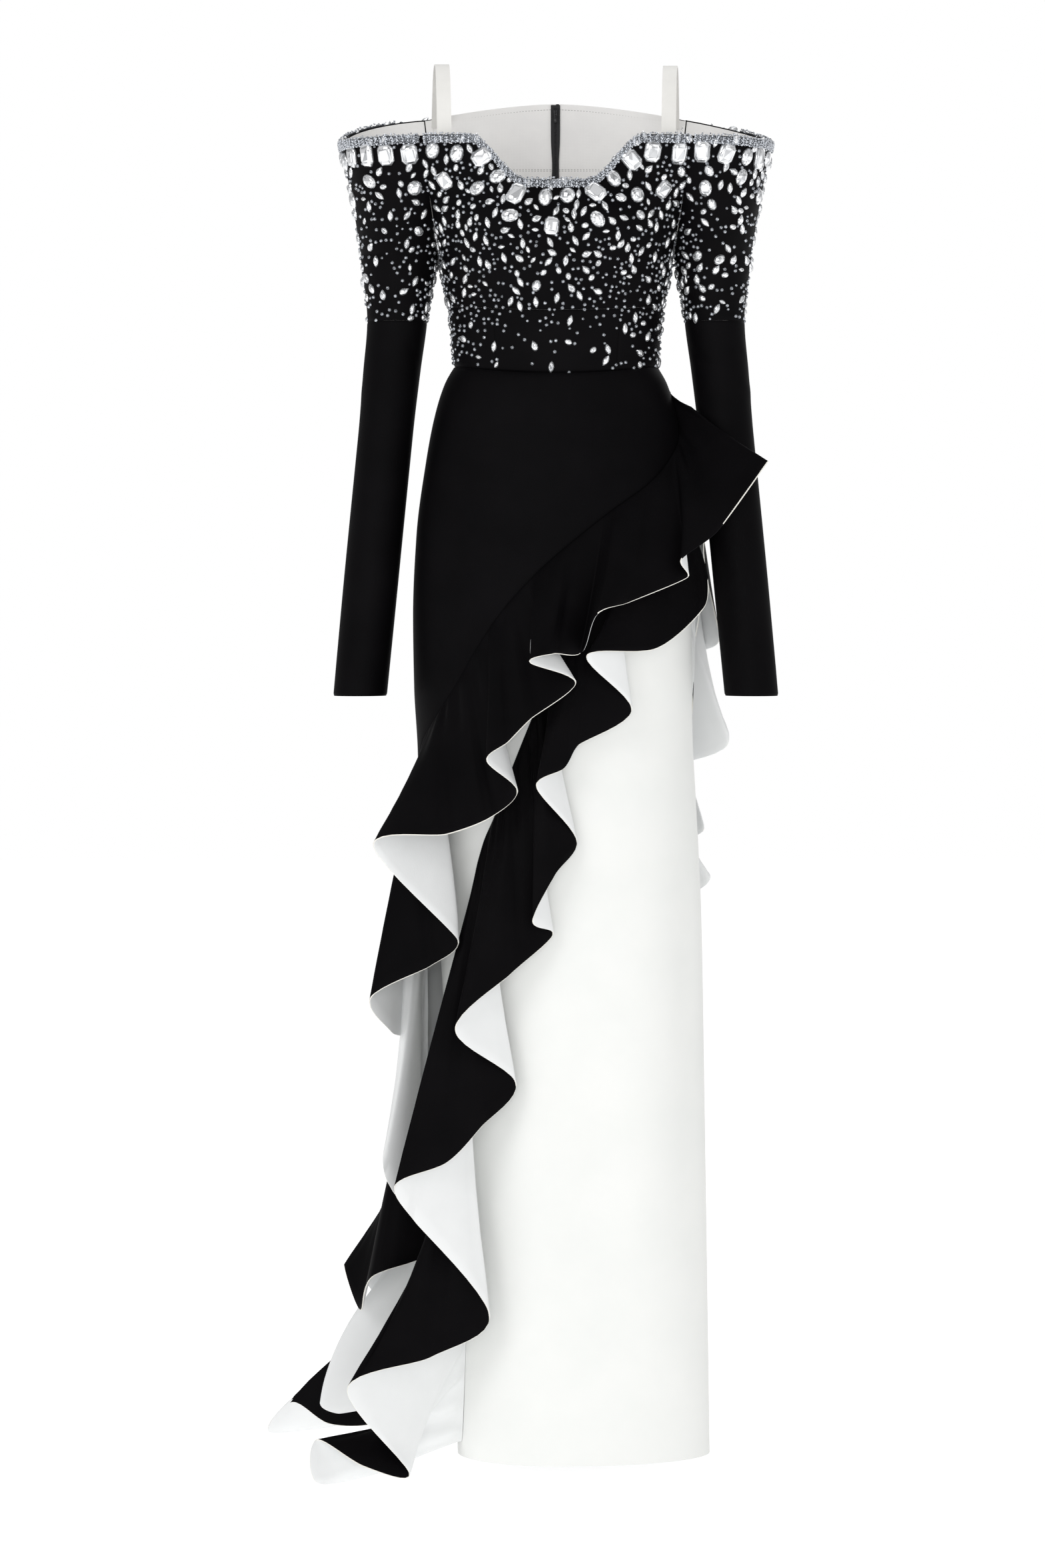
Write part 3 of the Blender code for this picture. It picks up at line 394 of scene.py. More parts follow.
class SmoothCurve:
    """A monotone cubic through knots and values, flat beyond both ends."""

    def __init__(self, knots: Sequence[float], values: Sequence[float]) -> None:
        """Works out the slope at each knot.

        Args:
            knots: Places along the curve, rising or falling.
            values: The value at each knot.
        """
        order = np.argsort(np.asarray(knots, float))
        self.knots = np.asarray(knots, float)[order]
        self.values = np.asarray(values, float)[order]
        self.widths = np.diff(self.knots)
        slopes = np.diff(self.values) / self.widths
        before, after = slopes[:-1], slopes[1:]
        one = 2 * self.widths[1:] + self.widths[:-1]
        two = self.widths[1:] + 2 * self.widths[:-1]
        level = before * after <= 0
        mean = (one + two) / (one / np.where(level, 1.0, before) + two / np.where(level, 1.0, after))
        self.tangents = np.concatenate([slopes[:1], np.where(level, 0.0, mean), slopes[-1:]])

    def __call__(self, at: Array) -> Array:
        """Reads the curve.

        Args:
            at: Places along the curve.

        Returns:
            The value at each place.
        """
        at = np.clip(np.asarray(at, float), self.knots[0], self.knots[-1])
        i = np.clip(np.searchsorted(self.knots, at, side="right") - 1, 0, len(self.widths) - 1)
        width = self.widths[i]
        start, leave, end, arrive = hermite((at - self.knots[i]) / width)
        return (
            start * self.values[i]
            + leave * self.tangents[i] * width
            + end * self.values[i + 1]
            + arrive * self.tangents[i + 1] * width
        )


def table_curve(table: Sequence[Sequence[float]], column: int) -> SmoothCurve:
    """A column of a table as a curve over the table's first column."""
    return SmoothCurve([row[0] for row in table], [row[column] for row in table])


def unit(vectors: Array) -> Array:
    """Vectors along the last axis, scaled to length 1."""
    return vectors / np.maximum(np.linalg.norm(vectors, axis=-1, keepdims=True), 1e-12)


def level_with(vectors: Array, normals: Array) -> Array:
    """Vectors laid flat on the faces that the normals stand on, scaled to length 1."""
    return unit(vectors - normals * (vectors * normals).sum(-1, keepdims=True))


def smooth_step(low: float, high: float, at: Array) -> Array:
    """0 up to low, 1 from high on, and an S between them."""
    t = np.clip((at - low) / (high - low), 0.0, 1.0)
    return t * t * (3 - 2 * t)


def runs(points: Array, axis: int = 0) -> Array:
    """How far along its line each point lies.

    Args:
        points: Lines of points, with X, Y and Z along the last axis.
        axis: The axis that the lines run along.

    Returns:
        The distances, from 0 at each line's first point.
    """
    steps = np.linalg.norm(np.diff(points, axis=axis), axis=-1)
    start = np.zeros_like(np.take(steps, [0], axis=axis))
    return np.concatenate([start, np.cumsum(steps, axis=axis)], axis=axis)


def rows_between(top: Array, low: Array | float, count: int, margin: float) -> Array:
    """Heights of rows from a head down to a foot, with steps as margined gives them over 0 to 1."""
    return top + (low - top) * margined(0.0, 1.0, count, margin)[:, None]


def margined(first: float, last: float, count: int, margin: float) -> Array:
    """Even steps from first to last, with closer ones beside both ends for the turn of a seam.

    Args:
        first: Where the steps start.
        last: Where they end.
        count: How many even steps there are.
        margin: The width of the close steps, in the units of first and last.

    Returns:
        The places, in order.
    """
    sign = 1.0 if last > first else -1.0
    close = sign * margin * np.array([0.0, 0.35, 0.7, 1.1, 1.7])
    clear = 2.6 * margin
    even = np.linspace(first, last, count + 1)
    even = even[(np.abs(even - first) > clear) & (np.abs(even - last) > clear)]
    return np.concatenate([first + close, even, (last - close)[::-1]])


class Figure:
    """A body of oval rings that cloth is laid on."""

    def __init__(self, girths: Sequence[Girth]) -> None:
        """Keeps one curve over the height for each size of the rings."""
        curves = (table_curve(girths, column) for column in (1, 2, 3, 4))
        self.left, self.right, self.front, self.back = curves

    def place(self, turn: Array, height: Array, outward: float = 0.0) -> Array:
        """Points on the figure.

        Args:
            turn: Degrees round from the front, positive towards the wearer's left.
            height: Heights above the floor.
            outward: How far off the surface the points lie.

        Returns:
            The points, with X, Y and Z along a new last axis.
        """
        angle = np.radians(turn)
        across, along = np.sin(angle), np.cos(angle)
        wide = np.where(across > 0, self.right(height), self.left(height))
        deep = np.where(along > 0, self.front(height), self.back(height))
        out = unit(np.stack([across * deep, -along * wide, np.zeros_like(wide)], -1))
        height = np.broadcast_to(height, wide.shape)
        return np.stack([wide * across, -deep * along, height], -1) + out * outward


def waist_height(turn: Array) -> Array:
    """Height of the waist seam, which dips at the front."""
    return WAIST - WAIST_DIP * np.maximum(0.0, np.cos(np.radians(turn))) ** 2


def underbust_height(turn: Array) -> Array:
    """Height of the seam below the bust, which dips at the front."""
    return UNDERBUST - UNDERBUST_DIP * np.maximum(0.0, np.cos(np.radians(turn))) ** 2


def wall_normals(grid: Array, joined: Array | None = None) -> Array:
    """The outward direction at each point of a grid of points.

    Args:
        grid: Rows that run down, of columns that run to the wearer's left across the front.
        joined: Which rows close on themselves, if any.

    Returns:
        One direction of length 1 for each point.
    """
    down = (grid[1:, :-1] + grid[1:, 1:]) - (grid[:-1, :-1] + grid[:-1, 1:])
    along = (grid[:-1, 1:] + grid[1:, 1:]) - (grid[:-1, :-1] + grid[1:, :-1])
    facing = np.cross(down, along)
    normals = np.zeros_like(grid)
    for rows in (slice(None, -1), slice(1, None)):
        for columns in (slice(None, -1), slice(1, None)):
            normals[rows, columns] += facing
    if joined is not None:
        normals[joined, 0] += normals[joined, -1]
        normals[joined, -1] = normals[joined, 0]
    return unit(normals)


def softened(vectors: Array, passes: int) -> Array:
    """Blends a line of vectors with their neighbours, with both ends kept.

    Args:
        vectors: The line.
        passes: How many times it is blended.

    Returns:
        The blended line.
    """
    for _ in range(passes):
        inner = (vectors[:-2] + 2 * vectors[1:-1] + vectors[2:]) / 4
        vectors = np.concatenate([vectors[:1], inner, vectors[-1:]])
    return vectors


@dataclass
class Wall:
    """A piece of cloth as a closed wall: a face, a reverse one thickness inside it, and the edges.

    Rows run down, and columns run to the wearer's left across the front. The share outside of the
    thickness lies outside the grid. The face's last edge_rows rows and its free edge take the
    edge's finish, but not in the plain columns. The reverse takes the face's finish in as many
    first and last rows as turned gives, and in turned_sides columns at either side.
    """

    name: str
    grid: Array
    thickness: float
    outside: float = 0.0
    joined: Array | None = None
    normals: Array | None = None
    edge_rows: int = 0
    turned: tuple[int, int] = (0, 0)
    turned_sides: int = 0
    plain: Array | None = None

    def __post_init__(self) -> None:
        """Fills in the rows that close, the columns without an edge line and the directions."""
        if self.normals is None:
            self.normals = wall_normals(self.grid, self.joined)
        if self.joined is None:
            self.joined = np.zeros(len(self.grid), bool)
        if self.plain is None:
            self.plain = np.zeros(self.grid.shape[1] - 1, bool)

    @property
    def face(self) -> Array:
        """The grid of points on the outer side."""
        return self.grid + self.normals * self.thickness * self.outside

    @property
    def reverse(self) -> Array:
        """The grid of points on the inner side."""
        return self.grid + self.normals * self.thickness * (self.outside - 1.0)

    def make(self, finishes: Sequence[Finish]) -> bpy.types.Object:
        """Builds the piece.

        Args:
            finishes: The finish of the face, of the reverse and of the edges.

        Returns:
            The object, with its place in its mesh and a UV map in metres of cloth.
        """
        rows, columns = self.grid.shape[:2]
        count = rows * columns
        spot = np.arange(count).reshape(rows, columns)
        cells, cell_row, cell_column = self._halves(spot)
        faces = [cells, cells[:, ::-1] + count]
        lined = (cell_row >= len(self.grid) - 1 - self.edge_rows) & ~self.plain[cell_column]
        inner = (cell_row >= self.turned[0]) & (cell_row < len(self.grid) - 1 - self.turned[1])
        inner &= (cell_column >= self.turned_sides) & (cell_column < columns - 1 - self.turned_sides)
        marks = [np.where(lined, 2, 0), np.where(inner, 1, 0)]
        for strip, strip_marks in self._edges(spot, count):
            faces.append(strip)
            marks.append(strip_marks)
        corners = np.concatenate(faces)
        marked = np.concatenate(marks)
        ids = np.arange(2 * count)
        ring = spot[self.joined]
        for base in (0, count):
            ids[ring[:, -1] + base] = ring[:, 0] + base
        welded = ids[corners]
        whole = (welded != np.roll(welded, 1, axis=1)).all(axis=1)
        corners, welded, marked = corners[whole], welded[whole], marked[whole]
        used, tidy = np.unique(welded, return_inverse=True)
        points = np.concatenate([self.face.reshape(-1, 3), self.reverse.reshape(-1, 3)])[used]
        uv = self._cloth_map().reshape(-1, 2)
        mesh = new_mesh(self.name, points, tidy.reshape(-1, 3))
        mesh.polygons.foreach_set("material_index", marked.astype(np.int32))
        layer = mesh.uv_layers.new(name="cloth")
        layer.data.foreach_set("uv", uv[corners.reshape(-1) % count].astype(np.float32).reshape(-1))
        mesh.shade_smooth()
        mesh.set_sharp_from_angle(angle=SHARP_ANGLE)
        return new_object(self.name, mesh, finishes)

    def _halves(self, spot: Array) -> tuple[Array, Array, Array]:
        """Halves every cell along its shorter diagonal.

        Args:
            spot: The number of each point of the grid.

        Returns:
            The triangles, and the row and the column of each one's cell.
        """
        a, b, c, d = spot[:-1, :-1], spot[1:, :-1], spot[1:, 1:], spot[:-1, 1:]
        falling = np.linalg.norm(self.grid[:-1, :-1] - self.grid[1:, 1:], axis=-1)
        rising = np.linalg.norm(self.grid[1:, :-1] - self.grid[:-1, 1:], axis=-1)
        first = falling < rising
        one = np.where(first[..., None], np.stack([a, b, c], -1), np.stack([a, b, d], -1))
        two = np.where(first[..., None], np.stack([a, c, d], -1), np.stack([b, c, d], -1))
        row, column = (part.reshape(-1) for part in np.indices(a.shape))
        cells = np.concatenate([one.reshape(-1, 3), two.reshape(-1, 3)])
        return cells, np.tile(row, 2), np.tile(column, 2)

    def _edges(self, spot: Array, count: int) -> list[tuple[Array, Array]]:
        """Closes the wall along its top, its bottom and its open sides.

        Args:
            spot: The number of each point of the grid.
            count: How many points one side has.

        Returns:
            Strips of triangles, each with the finishes of its triangles.
        """
        open_rows = ~(self.joined[:-1] & self.joined[1:])
        edged = np.where(self.plain, 0, 2)
        side = np.zeros(open_rows.sum(), int)
        lines = (
            (spot[0, :-1], spot[0, 1:], np.zeros_like(edged)),
            (spot[-1, 1:], spot[-1, :-1], edged),
            (spot[1:, 0][open_rows], spot[:-1, 0][open_rows], side),
            (spot[:-1, -1][open_rows], spot[1:, -1][open_rows], side),
        )
        strips = []
        for start, end, marks in lines:
            strips.append((np.stack([start, end, end + count], -1), marks))
            strips.append((np.stack([start, end + count, start + count], -1), marks))
        return strips

    def _cloth_map(self) -> Array:
        """Distances along and down the cloth at each point, in metres."""
        along = runs(self.grid, axis=1)
        return np.stack([along - along[:, -1:] / 2, -runs(self.grid)], -1)


def new_mesh(name: str, points: Array, faces: Array) -> bpy.types.Mesh:
    """A mesh of triangles, lowered from heights above the floor to the gown's own origin.

    Args:
        name: The mesh's name.
        points: The corner points, in metres above the floor.
        faces: Three corner numbers for each triangle.

    Returns:
        The mesh.
    """
    mesh = bpy.data.meshes.new(name)
    lowered = points - np.array([0.0, 0.0, HOLD_HEIGHT])
    mesh.vertices.add(len(lowered))
    mesh.vertices.foreach_set("co", lowered.astype(np.float32).reshape(-1))
    mesh.loops.add(faces.size)
    mesh.loops.foreach_set("vertex_index", faces.astype(np.int32).reshape(-1))
    mesh.polygons.add(len(faces))
    mesh.polygons.foreach_set("loop_start", np.arange(0, faces.size, 3, dtype=np.int32))
    mesh.update(calc_edges=True)
    return mesh


def new_object(name: str, mesh: bpy.types.Mesh, finishes: Sequence[Finish]) -> bpy.types.Object:
    """Puts a mesh in the scene.

    Args:
        name: The object's name.
        mesh: Its mesh.
        finishes: Its finishes, in the order of the mesh's numbers.

    Returns:
        The object.
    """
    piece = bpy.data.objects.new(name, mesh)
    bpy.context.scene.collection.objects.link(piece)
    for finish in finishes:
        mesh.materials.append(finish)
    return piece


def creased(grid: Array, normals: Array, turns: Array, creases: Sequence[Crease], radius: float) -> Array:
    """Raises soft ridges and troughs on a grid.

    Args:
        grid: The points, whose Z is their height.
        normals: The outward direction at each point.
        turns: Each column's turn in degrees.
        creases: The folds.
        radius: Metres of cloth for one radian of turn.

    Returns:
        The moved points.
    """
    here = np.stack([np.broadcast_to(np.radians(turns) * radius, grid.shape[:2]), grid[..., 2]], -1)
    rise = np.zeros(grid.shape[:2])
    for crease in creases:
        start = np.array([math.radians(crease.turn_a) * radius, crease.height_a])
        end = np.array([math.radians(crease.turn_b) * radius, crease.height_b])
        way = end - start
        share = ((here - start) @ way) / (way @ way)
        off = np.linalg.norm(here - start - np.clip(share, 0, 1)[..., None] * way, axis=-1)
        taper = smooth_step(*CREASE_FADE_IN, share) * (1 - smooth_step(*CREASE_FADE_OUT, share))
        rise += crease.depth * taper * np.exp(-((off / crease.width) ** 2))
    return grid + normals * rise[..., None]


def with_allowance(wall_grid: Array, normals: Array) -> Array:
    """The grid with its seam allowance behind the next piece: a row further down and inside."""
    below = wall_grid[-1] - normals[-1] * ALLOWANCE_INWARD - np.array([0.0, 0.0, ALLOWANCE_DOWN])
    return np.concatenate([wall_grid, below[None]])


def seamed(wall_grid: Array, normals: Array, sides: str) -> Array:
    """Turns a grid's edges inward, as cloth turns into a seam.

    Args:
        wall_grid: The points.
        normals: The outward direction at each point.
        sides: Which edges turn: t for the top, b for the bottom, l and r for the first and last columns.

    Returns:
        The moved points.
    """
    down, along = runs(wall_grid), runs(wall_grid, axis=1)
    distances = {"t": down, "b": down[-1:] - down, "l": along, "r": along[:, -1:] - along}
    sink = np.zeros(down.shape)
    for side in sides:
        sink = np.maximum(sink, np.exp(-((distances[side] / SEAM_WIDTH) ** 2)))
    return wall_grid - normals * (SEAM_DEPTH * sink)[..., None]


class Sketch:
    """A material's nodes, added and joined in one line each."""

    def __init__(self, name: str) -> None:
        """Starts a material with a Principled shader.

        Args:
            name: The material's name.
        """
        self.material = bpy.data.materials.new(name)
        self.material.use_nodes = True
        self.tree = self.material.node_tree
        self.shader = self.tree.nodes["Principled BSDF"]

    def add(self, kind: str, **settings: object) -> Node:
        """Adds a node.

        Args:
            kind: Blender's name for the node.
            **settings: Its properties.

        Returns:
            The node.
        """
        node = self.tree.nodes.new(kind)
        for key, value in settings.items():
            setattr(node, key, value)
        return node

    def join(self, out: Socket, into: Socket) -> None:
        """Links an output to an input."""
        self.tree.links.new(out, into)

    def value(self, node: Node, **inputs: object) -> Node:
        """Sets a node's inputs.

        Args:
            node: The node.
            **inputs: The values by the inputs' names, with underscores for spaces.

        Returns:
            The node.
        """
        for key, value in inputs.items():
            node.inputs[key.replace("_", " ")].default_value = value
        return node

    def noise(self, vector: Socket, scale: float, detail: float) -> Socket:
        """Adds a noise.

        Args:
            vector: The place that it reads.
            scale: How fine it is.
            detail: How many finer layers it has.

        Returns:
            Its value.
        """
        node = self.value(self.add("ShaderNodeTexNoise"), Scale=scale, Detail=detail, Roughness=0.55)
        self.join(vector, node.inputs["Vector"])
        return node.outputs["Fac"]

    def blend(self, share: Socket, low: Colour, high: Colour, span: tuple[float, float]) -> Socket:
        """Adds a ramp between two colours.

        Args:
            share: The value that it reads.
            low: The colour up to the span.
            high: The colour beyond it.
            span: Where the colour changes.

        Returns:
            Its colour.
        """
        ramp = self.add("ShaderNodeValToRGB")
        ramp.color_ramp.elements[0].position, ramp.color_ramp.elements[1].position = span
        ramp.color_ramp.elements[0].color = (*low, 1.0)
        ramp.color_ramp.elements[1].color = (*high, 1.0)
        self.join(share, ramp.inputs["Fac"])
        return ramp.outputs["Color"]

    def bump(self, height: Socket, distance: float, strength: float, under: Node | None = None) -> Node:
        """Adds a relief.

        Args:
            height: The value that it reads.
            distance: How deep it is.
            strength: How strongly it shows.
            under: Another relief that it lies on.

        Returns:
            The relief's node.
        """
        node = self.value(self.add("ShaderNodeBump"), Distance=distance, Strength=strength)
        self.join(height, node.inputs["Height"])
        if under is not None:
            self.join(under.outputs["Normal"], node.inputs["Normal"])
        return node


@dataclass(frozen=True)
class CrepeFinish:
    """Matt crepe: a fine pebbled grain, a faint crosswise crinkle and a soft sheen."""

    name: str
    deep: Colour
    light: Colour
    roughness: float
    sheen: float = 0.05
    sheen_tint: Colour = (1.0, 1.0, 1.0)
    shine: float = 0.2
    grain: float = 950.0
    relief: float = 0.00012

    def material(self) -> Finish:
        """Lays out the finish.

        Returns:
            The material.
        """
        sketch = Sketch(self.name)
        coordinates = sketch.add("ShaderNodeTexCoord")
        place = coordinates.outputs["Object"]
        stretch = sketch.value(sketch.add("ShaderNodeMapping"), Scale=(1.0, 0.28, 1.0))
        sketch.join(coordinates.outputs["UV"], stretch.inputs["Vector"])
        soft = sketch.noise(place, 14.0, 3.0)
        pebble = sketch.noise(place, self.grain, 2.0)
        crinkle = sketch.noise(stretch.outputs["Vector"], self.grain * 0.45, 3.0)
        tone = sketch.blend(soft, self.deep, self.light, (0.3, 0.7))
        sketch.join(tone, sketch.shader.inputs["Base Color"])
        under = sketch.bump(crinkle, self.relief * 1.5, 0.35)
        over = sketch.bump(pebble, self.relief, 0.5, under)
        sketch.join(over.outputs["Normal"], sketch.shader.inputs["Normal"])
        sketch.value(
            sketch.shader, Roughness=self.roughness, Sheen_Weight=self.sheen, Sheen_Roughness=0.45,
            Sheen_Tint=(*self.sheen_tint, 1.0), Specular_IOR_Level=self.shine,
        )
        return sketch.material


@dataclass(frozen=True)
class LiningFinish:
    """Plain-woven lining or tape: fine crossed threads and a slight unevenness of tone."""

    name: str
    deep: Colour
    light: Colour
    roughness: float
    thread: float = 0.00055

    def material(self) -> Finish:
        """Lays out the finish.

        Returns:
            The material.
        """
        sketch = Sketch(self.name)
        coordinates = sketch.add("ShaderNodeTexCoord")
        soft = sketch.noise(coordinates.outputs["Object"], 22.0, 4.0)
        tone = sketch.blend(soft, self.deep, self.light, (0.32, 0.68))
        sketch.join(tone, sketch.shader.inputs["Base Color"])
        relief = None
        for direction in ("X", "Y"):
            wave = sketch.add("ShaderNodeTexWave", bands_direction=direction)
            sketch.value(wave, Scale=1 / (self.thread * 20), Distortion=0.6, Detail=1.0)
            sketch.join(coordinates.outputs["UV"], wave.inputs["Vector"])
            relief = sketch.bump(wave.outputs["Fac"], self.thread * 0.18, 0.4, relief)
        sketch.join(relief.outputs["Normal"], sketch.shader.inputs["Normal"])
        sketch.value(sketch.shader, Roughness=self.roughness, Sheen_Weight=0.15, Specular_IOR_Level=0.3)
        return sketch.material


@dataclass(frozen=True)
class CutGlassFinish:
    """Foiled glass with painted reflections: the mesh's tone attribute sets each facet's painted brightness.
    """

    name: str
    painted_dark_facet: Colour
    painted_bright_facet: Colour
    roughness: float
    metallic: float

    def material(self) -> Finish:
        """Lays out the finish.

        Returns:
            The material.
        """
        sketch = Sketch(self.name)
        # Painted reflections: the tone attribute sets each facet's base colour between a painted dark and a
        # painted bright facet colour.
        tone = sketch.add("ShaderNodeAttribute", attribute_name="tone")
        ramp = sketch.blend(tone.outputs["Fac"], self.painted_dark_facet, self.painted_bright_facet, (0.05, 0.85))
        sketch.join(ramp, sketch.shader.inputs["Base Color"])
        place = sketch.add("ShaderNodeTexCoord").outputs["Object"]
        flaw = sketch.bump(sketch.noise(place, 420.0, 1.0), 0.00004, 0.25)
        sketch.join(flaw.outputs["Normal"], sketch.shader.inputs["Normal"])
        sketch.value(
            sketch.shader, Roughness=self.roughness, Metallic=self.metallic, Coat_Weight=0.6,
            Coat_Roughness=0.04,
        )
        return sketch.material


@dataclass(frozen=True)
class MetalFinish:
    """Lacquered black metal with fine rubbing on it."""

    name: str
    deep: Colour
    worn: Colour
    roughness: float

    def material(self) -> Finish:
        """Lays out the finish.

        Returns:
            The material.
        """
        sketch = Sketch(self.name)
        place = sketch.add("ShaderNodeTexCoord").outputs["Object"]
        rubbed = sketch.noise(place, 900.0, 4.0)
        tone = sketch.blend(rubbed, self.deep, self.worn, (0.5, 0.8))
        sketch.join(tone, sketch.shader.inputs["Base Color"])
        relief = sketch.bump(rubbed, 0.00003, 0.3)
        sketch.join(relief.outputs["Normal"], sketch.shader.inputs["Normal"])
        sketch.value(sketch.shader, Roughness=self.roughness, Metallic=0.7)
        return sketch.material


@dataclass
class Finishes:
    """Every finish of the gown, laid out once."""

    black: Finish = field(default_factory=CrepeFinish(
        "black crepe", (0.0020, 0.0018, 0.0022), (0.0034, 0.0030, 0.0036),
        roughness=0.60, sheen=0.002, sheen_tint=(0.60, 0.60, 0.66), shine=0.04,
    ).material)
    ivory: Finish = field(default_factory=CrepeFinish(
        "ivory crepe", (0.83, 0.84, 0.82), (0.86, 0.865, 0.845), roughness=0.72,
    ).material)
    reverse: Finish = field(default_factory=CrepeFinish(
        "white crepe reverse", (0.80, 0.81, 0.81), (0.84, 0.85, 0.85), roughness=0.75,
    ).material)
    edge: Finish = field(default_factory=LiningFinish(
        "cream edge", (0.78, 0.76, 0.70), (0.84, 0.82, 0.76), roughness=0.8,
    ).material)
    lining: Finish = field(default_factory=LiningFinish(
        "lining", (0.85, 0.84, 0.83), (0.90, 0.89, 0.875), roughness=0.55,
    ).material)
    strap: Finish = field(default_factory=LiningFinish(
        "strap satin", (0.80, 0.79, 0.76), (0.86, 0.85, 0.82), roughness=0.5,
    ).material)
    tape: Finish = field(default_factory=LiningFinish(
        "zip tape", (0.008, 0.008, 0.009), (0.013, 0.013, 0.014), roughness=0.6,
    ).material)
    # Grey thread, which along the lining's seams and stay also paints their shade.
    thread: Finish = field(default_factory=LiningFinish(
        "thread", (0.36, 0.35, 0.34), (0.46, 0.45, 0.44), roughness=0.7, thread=0.0002,
    ).material)
    # Glass finishes with painted reflections: each facet's colour lies between a painted dark and a painted
    # bright colour.
    stones: Finish = field(default_factory=CutGlassFinish(
        "cut glass", (0.10, 0.11, 0.12), (0.97, 0.98, 1.0), roughness=0.09, metallic=0.75,
    ).material)
    beads: Finish = field(default_factory=CutGlassFinish(
        "grey glass beads", (0.05, 0.055, 0.065), (0.66, 0.69, 0.74), roughness=0.16, metallic=0.55,
    ).material)
    metal: Finish = field(default_factory=MetalFinish(
        "zip metal", (0.010, 0.010, 0.011), (0.05, 0.05, 0.05), roughness=0.35,
    ).material)


@dataclass
class Workroom:
    """Hands finished pieces to the frame: their body and the solid that they stand for."""

    finishes: Finishes

    def hand_over(self, piece: bpy.types.Object, slot: str, *solids: str) -> None:
        """Lets a piece ride with the gown.

        Args:
            piece: The finished piece.
            slot: The record's material slot; not used.
            solids: The solids that it stands for, if any.
        """
        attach(piece, BODY)
        if solids:
            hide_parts(*solids)
        log.info("%s: %d triangles", piece.name, len(piece.data.polygons))

    def cloth(
        self,
        wall: Wall,
        looks: Sequence[Finish],
        slot: str,
        held: str,
        rests_on: Sequence[str],
        solid: str,
    ) -> bpy.types.Object:
        """Makes a piece of cloth and hands it over.

        Args:
            wall: The cloth.
            looks: The finish of its face, reverse and edges.
            slot: The record's material slot.
            held: How it is held, in the frame's words; not used.
            rests_on: The solids that it hangs from; not used.
            solid: The solid that it stands for.

        Returns:
            The piece.
        """
        piece, flat = wall.make(looks), FLATS[solid]
        self.hand_over(piece, slot, solid)
        return piece


